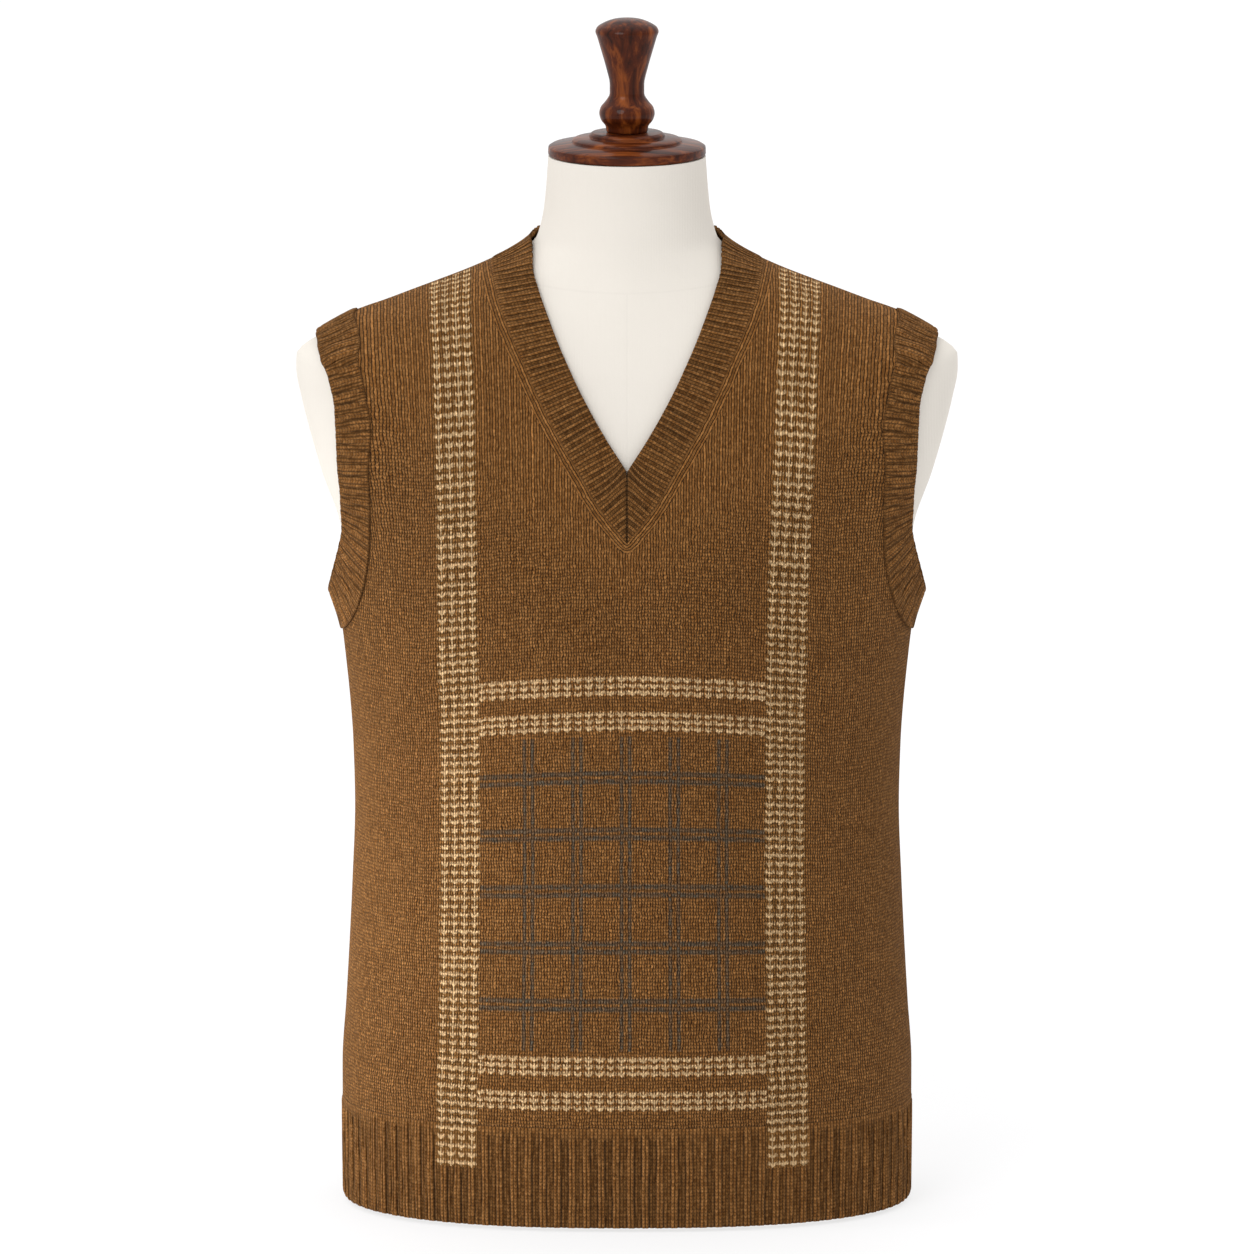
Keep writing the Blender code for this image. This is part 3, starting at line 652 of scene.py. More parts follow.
        # Windowpane: pairs of slate lines knitted with single strands, so brown shows through.
        lines = []
        for at, middle, repeat, apart in (
            (wale, PANE_MIDDLE, PANE_STITCHES, PANE_STITCHES_APART),
            (row, PANE_TOP_ROW, PANE_ROWS, PANE_ROWS_APART),
        ):
            cell = add_node(wool, "DIVIDE", ("SUBTRACT", at, middle), repeat)
            cell = add_node(wool, "FRACT", ("ADD", cell, 0.5))
            away = add_node(wool, "ABSOLUTE", ("MULTIPLY_ADD", cell, repeat, -repeat / 2))
            away = add_node(wool, "ABSOLUTE", ("SUBTRACT", away, apart / 2))
            away = add_node(wool, "ADD", away, ("MULTIPLY", wobble, 0.5))
            lines.append(add_node(wool, "ShaderNodeMapRange", away, 0.45, 1.0, 1.0, 0.0))
        upright = add_node(wool, "MULTIPLY", lines[0], ("LESS_THAN", from_middle, PANE_REACH))
        level = add_node(wool, "MULTIPLY", lines[1], inside_stripes)
        slate = add_node(
            wool,
            "MULTIPLY",
            ("MAXIMUM", upright, level),
            ("COMPARE", row, PANE_ROWS_MIDDLE, PANE_ROWS_REACH),
        )
        speckle = add_node(wool, "MULTIPLY_ADD", heather, 0.6, 0.4)
        for share, code in (
            (("MULTIPLY", in_stripe, 0.25), STRIPE_GROUND),
            (("MULTIPLY", slate, speckle), SLATE),
            (("MULTIPLY", cream, ("MULTIPLY_ADD", lumps, 0.7, 0.5)), CREAM),
        ):
            colour = add_node(
                wool, "ShaderNodeMix", share, colour, from_hex(code), data_type="RGBA"
            )
    # Painted light and shade of each stitch: lighter on its strands' crowns, darker in the hollows
    # between them.
    painted_shade_and_tone = add_node(wool, "MULTIPLY_ADD", height, 1.4 - plump, 0.08 + plump * 0.6)
    if charted:
        # The soft cream yarn fills its stitches better than the brown, so its stitches get less
        # painted shade.
        painted_shade_and_tone = add_node(wool, "ShaderNodeMix", ("MULTIPLY", cream, 0.5), painted_shade_and_tone, 0.75)
    # The yarn's own uneven tone, and painted shade in the grooves of ribs and of drawn cloth.
    column_share = add_node(wool, "MULTIPLY_ADD", drawn, 0.6, 0.3)
    for factor in (
        ("MULTIPLY_ADD", rib_shade, -0.88, 1.32),  # painted shade in the grooves between the ribs
        ("MULTIPLY_ADD", lumps, 1.6, 0.2),
        ("MULTIPLY_ADD", column_share, ("SUBTRACT", column, 0.5), 1.0),
        ("MULTIPLY_ADD", cloud, 0.2, 0.9),
        ("MULTIPLY_ADD", shaded_groove, -0.8, 1.06),
    ):
        painted_shade_and_tone = add_node(wool, "MULTIPLY", painted_shade_and_tone, factor)
    if charted:
        # The chain of stitches that links the neckband to the edge lies in a furrow, darkened with
        # painted shade.
        inner, outer = FURROW_SHADE_EDGES
        furrow_shade = ("ABSOLUTE", edge_x)
        furrow_shade = add_node(
            wool, "ShaderNodeMapRange", furrow_shade, inner * MM, outer * MM, 0.75, 1.0
        )
        painted_shade_and_tone = add_node(wool, "MULTIPLY", painted_shade_and_tone, furrow_shade)
    shaded = add_node(wool, "ShaderNodeVectorMath", colour, painted_shade_and_tone, operation="SCALE")
    wool.node_tree.links.new(shaded.outputs["Vector"], shader.inputs["Base Color"])
    relief = add_node(wool, "MULTIPLY_ADD", fibre, 0.35, height)
    relief = add_node(wool, "MULTIPLY_ADD", lumps, 0.6, relief)
    relief = add_node(wool, "MULTIPLY_ADD", shaded_groove, -1.0, relief)
    bump = add_node(wool, "ShaderNodeBump", 1.0, STITCH_DEPTH * MM, None, relief)
    wool.node_tree.links.new(bump.outputs["Normal"], shader.inputs["Normal"])
    return wool


panel_wool = knitted_wool("lambswool_stocking_stitch", charted=True)


def soft_step(value, start, end):
    """0 below the start and 1 above the end, with a soft bend at both."""
    share = np.clip((value - start) / (end - start), 0, 1)
    return share * share * (3 - 2 * share)


def torso_section(z):
    """The half width, depths and power of the cloth's outside at a height."""
    level = torso_level(z)
    out = level.ease + KNIT_WALL
    return level.half + out, level.front + out, level.back + out, level.power


def cloth_depth(x, z, side):
    """How far in front of or behind the middle plane the cloth's outside is."""
    half, front, back, power = torso_section(z)
    depth = front if side < 0 else back
    return depth * (1 - np.clip(np.abs(x) / half, 0, 1) ** power) ** (1 / power)


# Up and across the flat cloth. The wales stay upright, so a stitch's place across is worked
# out at the waist, from an x that the fanning of the wales has been taken out of.
WAIST = 275.0
STRAIGHT_TO = 445.0  # heights above this are measured over the chest's curve
CUT_ABOVE = 560.0  # from here up the wales end at the armhole or the shoulder
EVEN_TO = 130.0  # this far out the wales keep their spacing; beyond it they share the rest
BOW = 6.0  # the rows hang this much lower at the centre line
BOW_REACH = 97.0  # and level out this far from it
BOW_FROM, BOW_FULL = 120.0, 350.0  # heights between which the bow grows
GIRTH_PARTS = 400
CLIMB_PARTS = 90
Fan = namedtuple("Fan", "z widening")
FANS = [Fan(45, 1.025), Fan(275, 1.0), Fan(430, 1.012), Fan(560, 1.03), Fan(623, 1.058)]


def level_reach(turn, z):
    """How far out from the centre plane the cloth's outside is, measured level."""
    half, _, _, power = torso_section(z)
    return half * np.sin(turn * math.pi / 2) ** (2 / power)


def flat_place(turn, x, z, side):
    """Where points of the front or back lie across and up the flat cloth."""
    waist_half = torso_section(WAIST)[0][0]
    waist_x = waist_half * np.sin(np.linspace(0, math.pi / 2, GIRTH_PARTS))
    waist_y = cloth_depth(waist_x, np.full(GIRTH_PARTS, WAIST), side)
    steps = np.hypot(np.diff(waist_x), np.diff(waist_y))
    round_waist = np.concatenate([[0], np.cumsum(steps)])
    fan = table_at(FANS, [row.z for row in FANS], z).widening
    edge_x = level_reach(1, np.minimum(z, CUT_ABOVE))
    share = soft_step(x, EVEN_TO, np.maximum(edge_x, EVEN_TO + 1))
    even_x = x / fan + (level_reach(turn, z) * waist_half / edge_x - x / fan) * share
    across = np.interp(even_x, waist_x, round_waist)
    climbs = np.linspace(0, 1, CLIMB_PARTS)[:, None]
    heights = STRAIGHT_TO + (np.maximum(z, STRAIGHT_TO) - STRAIGHT_TO) * climbs
    depths = np.array([cloth_depth(x, height, side) for height in heights])
    climbed = np.hypot(np.diff(heights, axis=0), np.diff(depths, axis=0)).sum(axis=0)
    up = np.minimum(z, STRAIGHT_TO) - HEM_TOP + climbed
    bow = np.clip(1 - (x / BOW_REACH) ** 2, -1, 1)
    bow *= np.clip((z - BOW_FROM) / (BOW_FULL - BOW_FROM), 0, 1)
    return across, up - BOW * bow


def turn_across(x, z):
    """How far round a section x lies, from 0 at the centre line to 1 at the side."""
    level = torso_level(z)
    share = np.clip(x / level.half, 0, 1)
    return np.arcsin(share ** (level.power / 2)) * 2 / math.pi


def turn_behind(y, z, side):
    level = torso_level(z)
    share = np.clip(y / (level.front if side < 0 else level.back), 0, 1)
    return np.arccos(share ** (level.power / 2)) * 2 / math.pi


Station = namedtuple("Station", "seam_turn seam_z edge_turn edge_z flare length")
NECK_FLARE = 1.0
SAMPLES = 480


def station_rows(table, side, keys):
    """The turn and height of the seam and the free edge at places on a neck or armhole table."""
    rows = table_at(table, range(len(table)), keys)
    if isinstance(table[0], NeckRow):
        seam_turn = turn_across(rows.seam_x, rows.seam_z)
        edge_turn = turn_across(rows.edge_x, rows.edge_z)
        flare = np.full(len(keys), NECK_FLARE)
    else:
        seam_turn = turn_behind(rows.seam_y, rows.seam_z, side)
        edge_turn = turn_behind(rows.edge_y, rows.edge_z, side)
        flare = rows.flare
    return Station(seam_turn, rows.seam_z, edge_turn, rows.edge_z, flare, 0.0)


def stations(table, side, shares):
    """The same at even shares of the seam's length."""
    keys = np.linspace(0, len(table) - 1, SAMPLES)
    rough = station_rows(table, side, keys)
    seam = torso_place(rough.seam_turn, rough.seam_z, side)
    reached = np.concatenate([[0], np.cumsum(np.linalg.norm(np.diff(seam, axis=0), axis=1))])
    even = np.interp(np.asarray(shares) * reached[-1], reached, keys)
    return station_rows(table, side, even)._replace(length=reached[-1])


def gathered(share, pull):
    """Shares from 0 to 1 with their spacing drawn together at both ends."""
    return share - pull * np.sin(2 * math.pi * share) / (2 * math.pi)


BAND_LIFT = 3.7  # how far off the form a band's seam lies, near enough to measure along it
LINE_PARTS = 60
PANEL_COLUMNS = 96
PANEL_ROWS = 150
LOW_SHARE = 0.52  # the share of a panel's rows that lie below the underarm
ROLLED = 0.05  # how far a linked edge rolls in
ROLL_WIDTH = 1.3
TURN_TO_SIDE = 60.0  # near the side seam a whole turn would be about this long
ROWS_TO_SHOULDER = 260.0  # and near the shoulder the panel's rows would be
CREASES_FADE = 12.0  # towards every edge
# The cloth is drawn up from the chest to the shoulders, less far out from the centre line.
DRAWN_ABOVE = 415.0
DRAWN_SLOPE = 0.6
DRAWN_FADE = 90.0

# Soft folds: where on the flat cloth, half length, half width, lean from upright and rise.
Crease = namedtuple("Crease", "across up length width lean rise")


def soft_creases(across, up, creases):
    """How far the given folds lift the cloth, the same on both sides of the centre line."""
    lift = np.zeros(len(across))
    for crease in creases:
        lean = math.radians(crease.lean)
        right, above = across - crease.across, up - crease.up
        along = right * math.sin(lean) + above * math.cos(lean)
        beside = right * math.cos(lean) - above * math.sin(lean)
        shape = (along / crease.length) ** 2 + (beside / crease.width) ** 2
        lift += crease.rise * np.exp(-shape)
    return lift


def distance_to_line(x, y, line_x, line_y):
    """How far points lie from a line of short straight parts, and how far along it."""
    best = np.full(len(x), 1e9)
    along = np.zeros(len(x))
    reached = 0.0
    for x0, y0, x1, y1 in zip(line_x, line_y, line_x[1:], line_y[1:]):
        length = math.hypot(x1 - x0, y1 - y0)
        share = ((x - x0) * (x1 - x0) + (y - y0) * (y1 - y0)) / length**2
        share = np.clip(share, 0, 1)
        away = np.hypot(x - x0 - share * (x1 - x0), y - y0 - share * (y1 - y0))
        nearer = away < best
        best = np.where(nearer, away, best)
        along = np.where(nearer, reached + share * length, along)
        reached += length
    return best, along


def give_thickness(piece, cloth):
    """One single thickness of cloth, inwards from the outside that the mesh draws."""
    wall = piece.modifiers.new("thickness", "SOLIDIFY")
    wall.thickness = cloth * MM
    wall.offset = -1.0
    wall.use_even_offset = False


def knitted_panel(name, neck_table, side, centre_share, creases, material):
    """The front or back: right and left halves that join on the centre line below the neck."""
    mesh, shares = flat_grids(name, PANEL_COLUMNS, PANEL_ROWS, count=2)
    half = len(shares) // 2
    hand = np.repeat([1, -1], half)
    out = np.where(hand * -side > 0, shares[:, 0], 1 - shares[:, 0])
    out = gathered(out, 0.6)
    up_share = gathered(shares[:, 1], 0.5)
    bottom = HEM_TOP + SEAM_GAP / 2
    above = np.clip((up_share - LOW_SHARE) / (1 - LOW_SHARE), 0, 1)
    low = np.clip(up_share / LOW_SHARE, 0, 1)
    armhole = stations(ARMHOLE, side, above)
    neck = stations(neck_table, side, np.clip((above - centre_share) / (1 - centre_share), 0, 1))
    side_z = bottom + (UNDERARM - bottom) * low
    point_z = UNDERARM + (neck_table[0].seam_z - UNDERARM) * above / centre_share
    left_z = np.where(above <= 0, side_z, np.where(above < centre_share, point_z, neck.seam_z))
    left_turn = np.where(above > centre_share, neck.seam_turn, 0)
    right_z = np.where(above <= 0, side_z, armhole.seam_z)
    right_turn = np.where(above <= 0, 1, armhole.seam_turn)
    turn = left_turn + (right_turn - left_turn) * out
    z = left_z + (right_z - left_z) * out

    ease = torso_level(z).ease + KNIT_WALL
    points = torso_place(turn, z, side, ease)
    across, up = flat_place(turn, points[:, 0], z, side)

    # Every edge that is linked to another piece rolls in, which draws the seam.
    from_seams = []
    for table in (neck_table, ARMHOLE):
        seam = stations(table, side, np.linspace(0, 1, LINE_PARTS))
        line = torso_place(seam.seam_turn, seam.seam_z, side, BAND_LIFT)
        seam_flat = flat_place(seam.seam_turn, line[:, 0], line[:, 2], side)
        from_seams.append(distance_to_line(across, up, *seam_flat))
    (from_neck, along_neck), (from_armhole, _) = from_seams
    from_side = np.where(z < UNDERARM, (1 - turn) * TURN_TO_SIDE, from_armhole)
    from_shoulder = (1 - up_share) * ROWS_TO_SHOULDER
    nearest = np.minimum.reduce([from_neck, from_side, from_shoulder])
    rolled = ROLLED * np.exp(-((nearest / ROLL_WIDTH) ** 2))
    fade = np.clip(nearest / CREASES_FADE, 0, 1)
    lift = ease + soft_creases(across, up, creases) * fade - rolled
    points = torso_place(turn, z, side, lift)
    points[:, 1] = side * np.maximum(np.abs(points[:, 1]), SEAM_GAP / 2)
    points[:, 0] *= hand
    place_points(mesh, points)
    lay_flat(mesh, "Flat cloth", across * hand, up)
    lay_flat(mesh, "Edge stitches", from_neck, along_neck)
    drawn_from = DRAWN_ABOVE + DRAWN_SLOPE * np.abs(points[:, 0])
    paint(mesh, "Drawn", soft_step(z, drawn_from, drawn_from + DRAWN_FADE))
    close_mesh(mesh)
    panel = show(name, mesh, material)
    give_thickness(panel, CLOTH)
    return panel


FRONT_CREASES = [
    Crease(150, 300, 60, 14, -38, 1.6),
    Crease(128, 268, 70, 16, -30, -1.2),
    Crease(165, 210, 46, 12, -62, 1.2),
    Crease(172, 120, 40, 10, -70, 1.4),
    Crease(160, 95, 44, 10, -66, -1.0),
    Crease(60, 24, 60, 10, 90, 1.6),
    Crease(150, 22, 50, 9, 90, 1.8),
    Crease(120, 470, 46, 13, 24, 1.2),
    Crease(150, 440, 60, 14, 12, -1.2),
    Crease(40, 330, 60, 20, 28, 0.9),
    Crease(0, 300, 60, 26, 0, -0.8),
]
BACK_CREASES = [
    Crease(150, 300, 60, 14, -38, 1.8),
    Crease(120, 262, 70, 17, -30, -1.4),
    Crease(60, 150, 90, 16, 80, 1.8),
    Crease(20, 118, 80, 14, 94, -1.4),
    Crease(150, 92, 50, 12, -68, 1.6),
    Crease(70, 22, 70, 10, 90, 1.8),
    Crease(90, 440, 70, 22, 14, 1.4),
    Crease(0, 380, 90, 30, 0, -1.2),
]

# The share of the rows above the underarm that lie below each neckline on the centre line.
FRONT_BELOW_NECK = 4 / 15
BACK_BELOW_NECK = 8 / 15

front = knitted_panel(
    "knitted_front", FRONT_NECK, -1, FRONT_BELOW_NECK, FRONT_CREASES, panel_wool
)
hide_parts("vest_front")
back_wool = knitted_wool("lambswool_back")
back = knitted_panel("knitted_back", BACK_NECK, 1, BACK_BELOW_NECK, BACK_CREASES, back_wool)
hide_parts("vest_back")

# ---- Hem rib ----------------------------------------------------------------
# The same lambswool in 2x2 rib, knitted down from the front and the back: two plain stitches
# stand proud, two purl stitches sink. The front's stripes run on over it in flat knitting.

HEM_LOW = 3.0
HEM_RIBS = 52  # on each side
RIB_COLUMNS = 16  # of the grid, to each rib
HEM_ROWS = 34
RIB_DEPTH = 1.7
RIB_SINK = 1.0  # how far the rib's hollows lie inside the line of the plain cloth
RIB_DRAWN = 0.15  # all ribs are drawn this much
RIB_STARTS = (1.0, 7.0)  # each rib starts this far below the panel
RIB_GROWS = 1.6
RIB_STITCHES = 4  # two plain and two purl
EVEN_AT = 40.0  # the ribs are evenly spaced at this height
HEM_PARTS = 600  # in which the girth is measured for that
HEM_LIFT = 8.0  # how far off the form the rib lies, near enough to space it by
HEM_ROLL = 1.0
HEM_ROLL_HEIGHT = 1.6
FLAT_RISE = 0.3  # how far the stripes' flat knitting stands proud
FAR_OFF = 4000  # stitches, which puts a whole rib on the edge's side of the chart's map
STRIPE_INSIDE = (STRIPE_MIDDLE - STRIPE_REACH) * WALE
STRIPE_OUTSIDE = (STRIPE_MIDDLE + STRIPE_REACH) * WALE
STRIPE_END = 43.0

# One rib: share of its width, share of its height. The deepest grooves lie between plain
# and purl stitches, and a shallower one between the two plain columns.
RibPoint = namedtuple("RibPoint", "at height")
WIDE_RIB = [
    RibPoint(0.0, 0.35),
    RibPoint(0.05, 0.75),
    RibPoint(0.125, 1.0),
    RibPoint(0.19, 0.92),
    RibPoint(0.25, 0.65),
    RibPoint(0.31, 0.92),
    RibPoint(0.375, 1.0),
    RibPoint(0.44, 0.8),
    RibPoint(0.49, 0.35),
    RibPoint(0.54, 0.0),
    RibPoint(0.59, 0.0),
    RibPoint(0.65, 0.45),
    RibPoint(0.75, 0.6),
    RibPoint(0.85, 0.5),
    RibPoint(0.91, 0.12),
    RibPoint(0.95, 0.12),
    RibPoint(1.0, 0.35),
]


# Hand-held yarn makes the ribs waver: how far, in ribs, over what length, and how much
# later each rib does so than the one beside it.
RIB_WAVERS = ((0.05, 11.0, 0.9), (0.03, 5.0, -2.0))
TO_CROWN = 0.75  # from one rib's start to the crown of the one before it
GROOVE_DEPTHS = (0.65, 1.0)
CHANCES = 512


def uneven(number, low, high, seed):
    """A steady chance between low and high for each whole number."""
    chances = np.random.default_rng(seed).uniform(low, high, CHANCES)
    return chances[np.floor(number).astype(int) % CHANCES]


def wide_rib(phase, along):
    """The height of a 2x2 rib, 0 to 1, at a place along its row."""
    wavering = phase
    for share, length, slip in RIB_WAVERS:
        wavering = wavering + share * np.sin(along / length + slip * phase)
    ridge = table_at(WIDE_RIB, [point.at for point in WIDE_RIB], wavering % 1).height
    # Each groove, counted from the crown of one rib to the next, has its own depth.
    return 1 - (1 - ridge) * uneven(wavering + TO_CROWN, *GROOVE_DEPTHS, seed=5)


def hem_rib(name, side, material):
    """The front's or the back's rib, which the panel's plain stitches run down into."""
    mesh, shares = flat_grids(name, HEM_RIBS * RIB_COLUMNS, HEM_ROWS)
    # Turns that divide the section into equal lengths.
    turns = np.linspace(0, 1, HEM_PARTS)
    line = torso_place(turns, np.full(HEM_PARTS, EVEN_AT), side, HEM_LIFT)
    reached = np.concatenate([[0], np.cumsum(np.linalg.norm(np.diff(line, axis=0), axis=1))])
    sideways = (2 * shares[:, 0] - 1) * -side
    turn = np.interp(np.abs(sideways) * reached[-1], reached, turns)
    hand = np.where(sideways < 0, -1, 1)
    up_share = gathered(shares[:, 1], 0.7)
    top = HEM_TOP - SEAM_GAP / 2
    z = HEM_LOW + (top - HEM_LOW) * up_share
    plain = torso_place(turn, z, side, torso_level(z).ease + KNIT_WALL)
    across, up = flat_place(turn, plain[:, 0], z, side)
    ribs = (sideways + 1) / 2 * HEM_RIBS
    ridge = wide_rib(ribs, z)
    # The plain stitches of each rib run up into the panel at their own height.
    start = top - uneven(ribs + TO_CROWN, *RIB_STARTS, seed=9)
    ridge += (RIB_SINK / RIB_DEPTH - ridge) * soft_step(z, start - RIB_GROWS, start)
    height = ridge * RIB_DEPTH - RIB_SINK
    if side < 0:
        charted = across + np.where(hand > 0, RIGHT_STRIPE_IN[0] * WALE, 0)
        in_stripe = soft_step(charted, STRIPE_INSIDE - 1.5, STRIPE_INSIDE)
        in_stripe *= soft_step(charted, STRIPE_OUTSIDE + 1.5, STRIPE_OUTSIDE)
        in_stripe *= soft_step(z, STRIPE_END - 1, STRIPE_END + 1)
        height += (FLAT_RISE * soft_step(z, top, top - 6) - height) * in_stripe
        ridge += (1 - ridge) * in_stripe
    height += (0 - height) * soft_step(z, top - 1, top)
    rolled = HEM_ROLL * np.exp(-(((z - HEM_LOW) / HEM_ROLL_HEIGHT) ** 2))
    points = torso_place(turn, z, side, torso_level(z).ease + KNIT_WALL + height - rolled)
    points[:, 1] = side * np.maximum(np.abs(points[:, 1]), SEAM_GAP / 2)
    points[:, 0] *= hand
    place_points(mesh, points)
    lay_flat(mesh, "Flat cloth", across * hand, up)
    lay_flat(mesh, "Edge stitches", (ribs * RIB_STITCHES - 1 - FAR_OFF) * WALE, up)
    joined = soft_step(z, top - RIB_STARTS[1], top)
    # Painted shade in the grooves between the ribs, gone where they run into the panel.
    paint(mesh, "Hollow", (1 - ridge) * (1 - joined))
    paint(mesh, "Drawn", np.full(len(ridge), RIB_DRAWN))
    mesh.shade_smooth()
    rib = show(name, mesh, material)
    give_thickness(rib, CLOTH)
    return rib


hem_wool = knitted_wool("lambswool_hem_rib", charted=True, sway=0.5, plump=0.4)
hem_front = hem_rib("hem_rib_of_front", -1, hem_wool)
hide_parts("hem_rib_front")
band_wool = knitted_wool("lambswool_band_rib", sway=0.5, plump=0.4)
hem_back = hem_rib("hem_rib_of_back", 1, band_wool)
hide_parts("hem_rib_back")

# ---- Armhole bands -----------------------------------------------------------
# 2x2 rib in the same wool, picked up round each armhole and knitted outwards to a corded
# cast-off edge. Each is one ring with its join at the underarm.

BAND_CROWN = 0.15
SHOULDER_CROWN = 0.1
BAND_DEPTH = 1.3
BAND_SINK = 1.25  # the band's ribs lie no higher than the panels
BAND_CLOTH = 1.6
ARMHOLE_RIBS = 68
BAND_ROWS = 24
CORD_WIDTH = 3.6  # the cast-off edge
CORD_ROUND = (0.8, 0.9)  # its outer edge turns in this far, over this width
CORD_GROOVE = (0.3, 0.6)  # and so does the groove inside it
SHOULDER_FROM, SHOULDER_FULL = 560.0, 600.0  # heights over which the band flattens


def armhole_band(name, hand, material):
    """The ring of rib round one armhole; hand is 1 for the side at +X and -1 for the other."""
    mesh, shares = flat_grids(name, ARMHOLE_RIBS * RIB_COLUMNS, BAND_ROWS)
    round_share, across_share = shares[:, 0], gathered(shares[:, 1], 0.55)
    # In front from the underarm up to the shoulder, then down behind; mirrored for the left.
    in_front = round_share < 0.5
    up = np.where(in_front, round_share * 2, 2 - round_share * 2)
    front_seam, back_seam = stations(ARMHOLE, -1, up), stations(ARMHOLE, 1, up)
    side = np.where(in_front, -1, 1)
    seam_turn = np.where(in_front, front_seam.seam_turn, back_seam.seam_turn)
    edge_turn = np.where(in_front, front_seam.edge_turn, back_seam.edge_turn)
    seam_z, edge_z, flare = front_seam.seam_z, front_seam.edge_z, front_seam.flare
    turn = seam_turn + (edge_turn - seam_turn) * across_share
    z = seam_z + (edge_z - seam_z) * across_share
    level = torso_level(z)
    on_shoulder = soft_step(seam_z, SHOULDER_FROM, SHOULDER_FULL)
    crown = BAND_CROWN + (SHOULDER_CROWN - BAND_CROWN) * on_shoulder
    arch = flare * (0.3 * across_share + 0.7 * across_share**2)
    arch += crown * 4 * across_share * (1 - across_share)
    start = torso_place(seam_turn, seam_z, side, level.ease)
    end = torso_place(edge_turn, edge_z, side, level.ease + flare)
    width = np.linalg.norm(end - start, axis=1)
    away = across_share * width
    ribs = round_share * ARMHOLE_RIBS
    ridge = wide_rib(ribs, away)
    # The ribs grow from the seam, and the cast-off edge draws them together in a small cord.
    ridge = 1 - (1 - ridge) * (0.6 + 0.4 * soft_step(away, 1, 8))
    corded = soft_step(width - away, CORD_WIDTH + 0.8, CORD_WIDTH - 0.8)
    ridge += (0.85 - ridge) * 0.6 * corded
    height = ridge * BAND_DEPTH - BAND_SINK
    height += (-ROLLED - height) * soft_step(away, 1.6, 0)
    for inside, (depth, spread) in ((0, CORD_ROUND), (CORD_WIDTH, CORD_GROOVE)):
        height -= depth * np.exp(-(((width - away - inside) / spread) ** 2))
    points = torso_place(turn, z, side, level.ease + KNIT_WALL + arch + height)
    points[:, 0] *= hand
    if hand < 0:
        points, ridge = mirror_order(points, shares), mirror_order(ridge, shares)
        ribs, away = mirror_order(ribs, shares), mirror_order(away, shares)
    place_points(mesh, points)
    lay_flat(mesh, "Flat cloth", (ribs * RIB_STITCHES - 1) * WALE, away)
    # Painted shade in the grooves between the ribs.
    paint(mesh, "Hollow", 1 - ridge)
    paint(mesh, "Drawn", np.full(len(ridge), RIB_DRAWN))
    close_mesh(mesh)
    band = show(name, mesh, material)
    give_thickness(band, BAND_CLOTH)
    return band


def mirror_order(values, shares):
    """The same values with each row of the grid read from its other end, to face outwards."""
    order = np.lexsort((shares[:, 0], shares[:, 1]))
    back = np.lexsort((-shares[:, 0], shares[:, 1]))
    turned = np.empty_like(values)
    turned[order] = values[back]
    return turned


band_right = armhole_band("armhole_band_of_right", 1, band_wool)
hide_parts("armhole_band_right")
band_left = armhole_band("armhole_band_of_left", -1, band_wool)
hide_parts("armhole_band_left")

# ---- Neckband ------------------------------------------------------------------
# One strip of fine 1x1 rib, linked down both sides of the V and round the nape. Its ends
# cross the V's point in a mitre, so the ribs of the two sides meet in an arrowhead.

NECK_RIB = 4.8  # from one rib to the next
NECK_RIB_COLUMNS = 8
NECK_RIB_DEPTH = 1.5
NECK_RIB_SINK = 0.9
NECK_ROWS = 22
NECKBAND_WIDTH = 30.0
NECK_GROOVE_DEPTHS = (0.45, 1.0)
MITRE_DEPTH = 1.0
MITRE_WIDTH = 0.8
MITRE_SHADE = 1.3
CURVE_PARTS = 400
LEAN_FULL, LEAN_GONE = 0.35, 0.75  # shares of the V's length over which the ribs stop leaning
LEAN_ROUNDS = 40  # steps in which each rib's foot on the seam is found


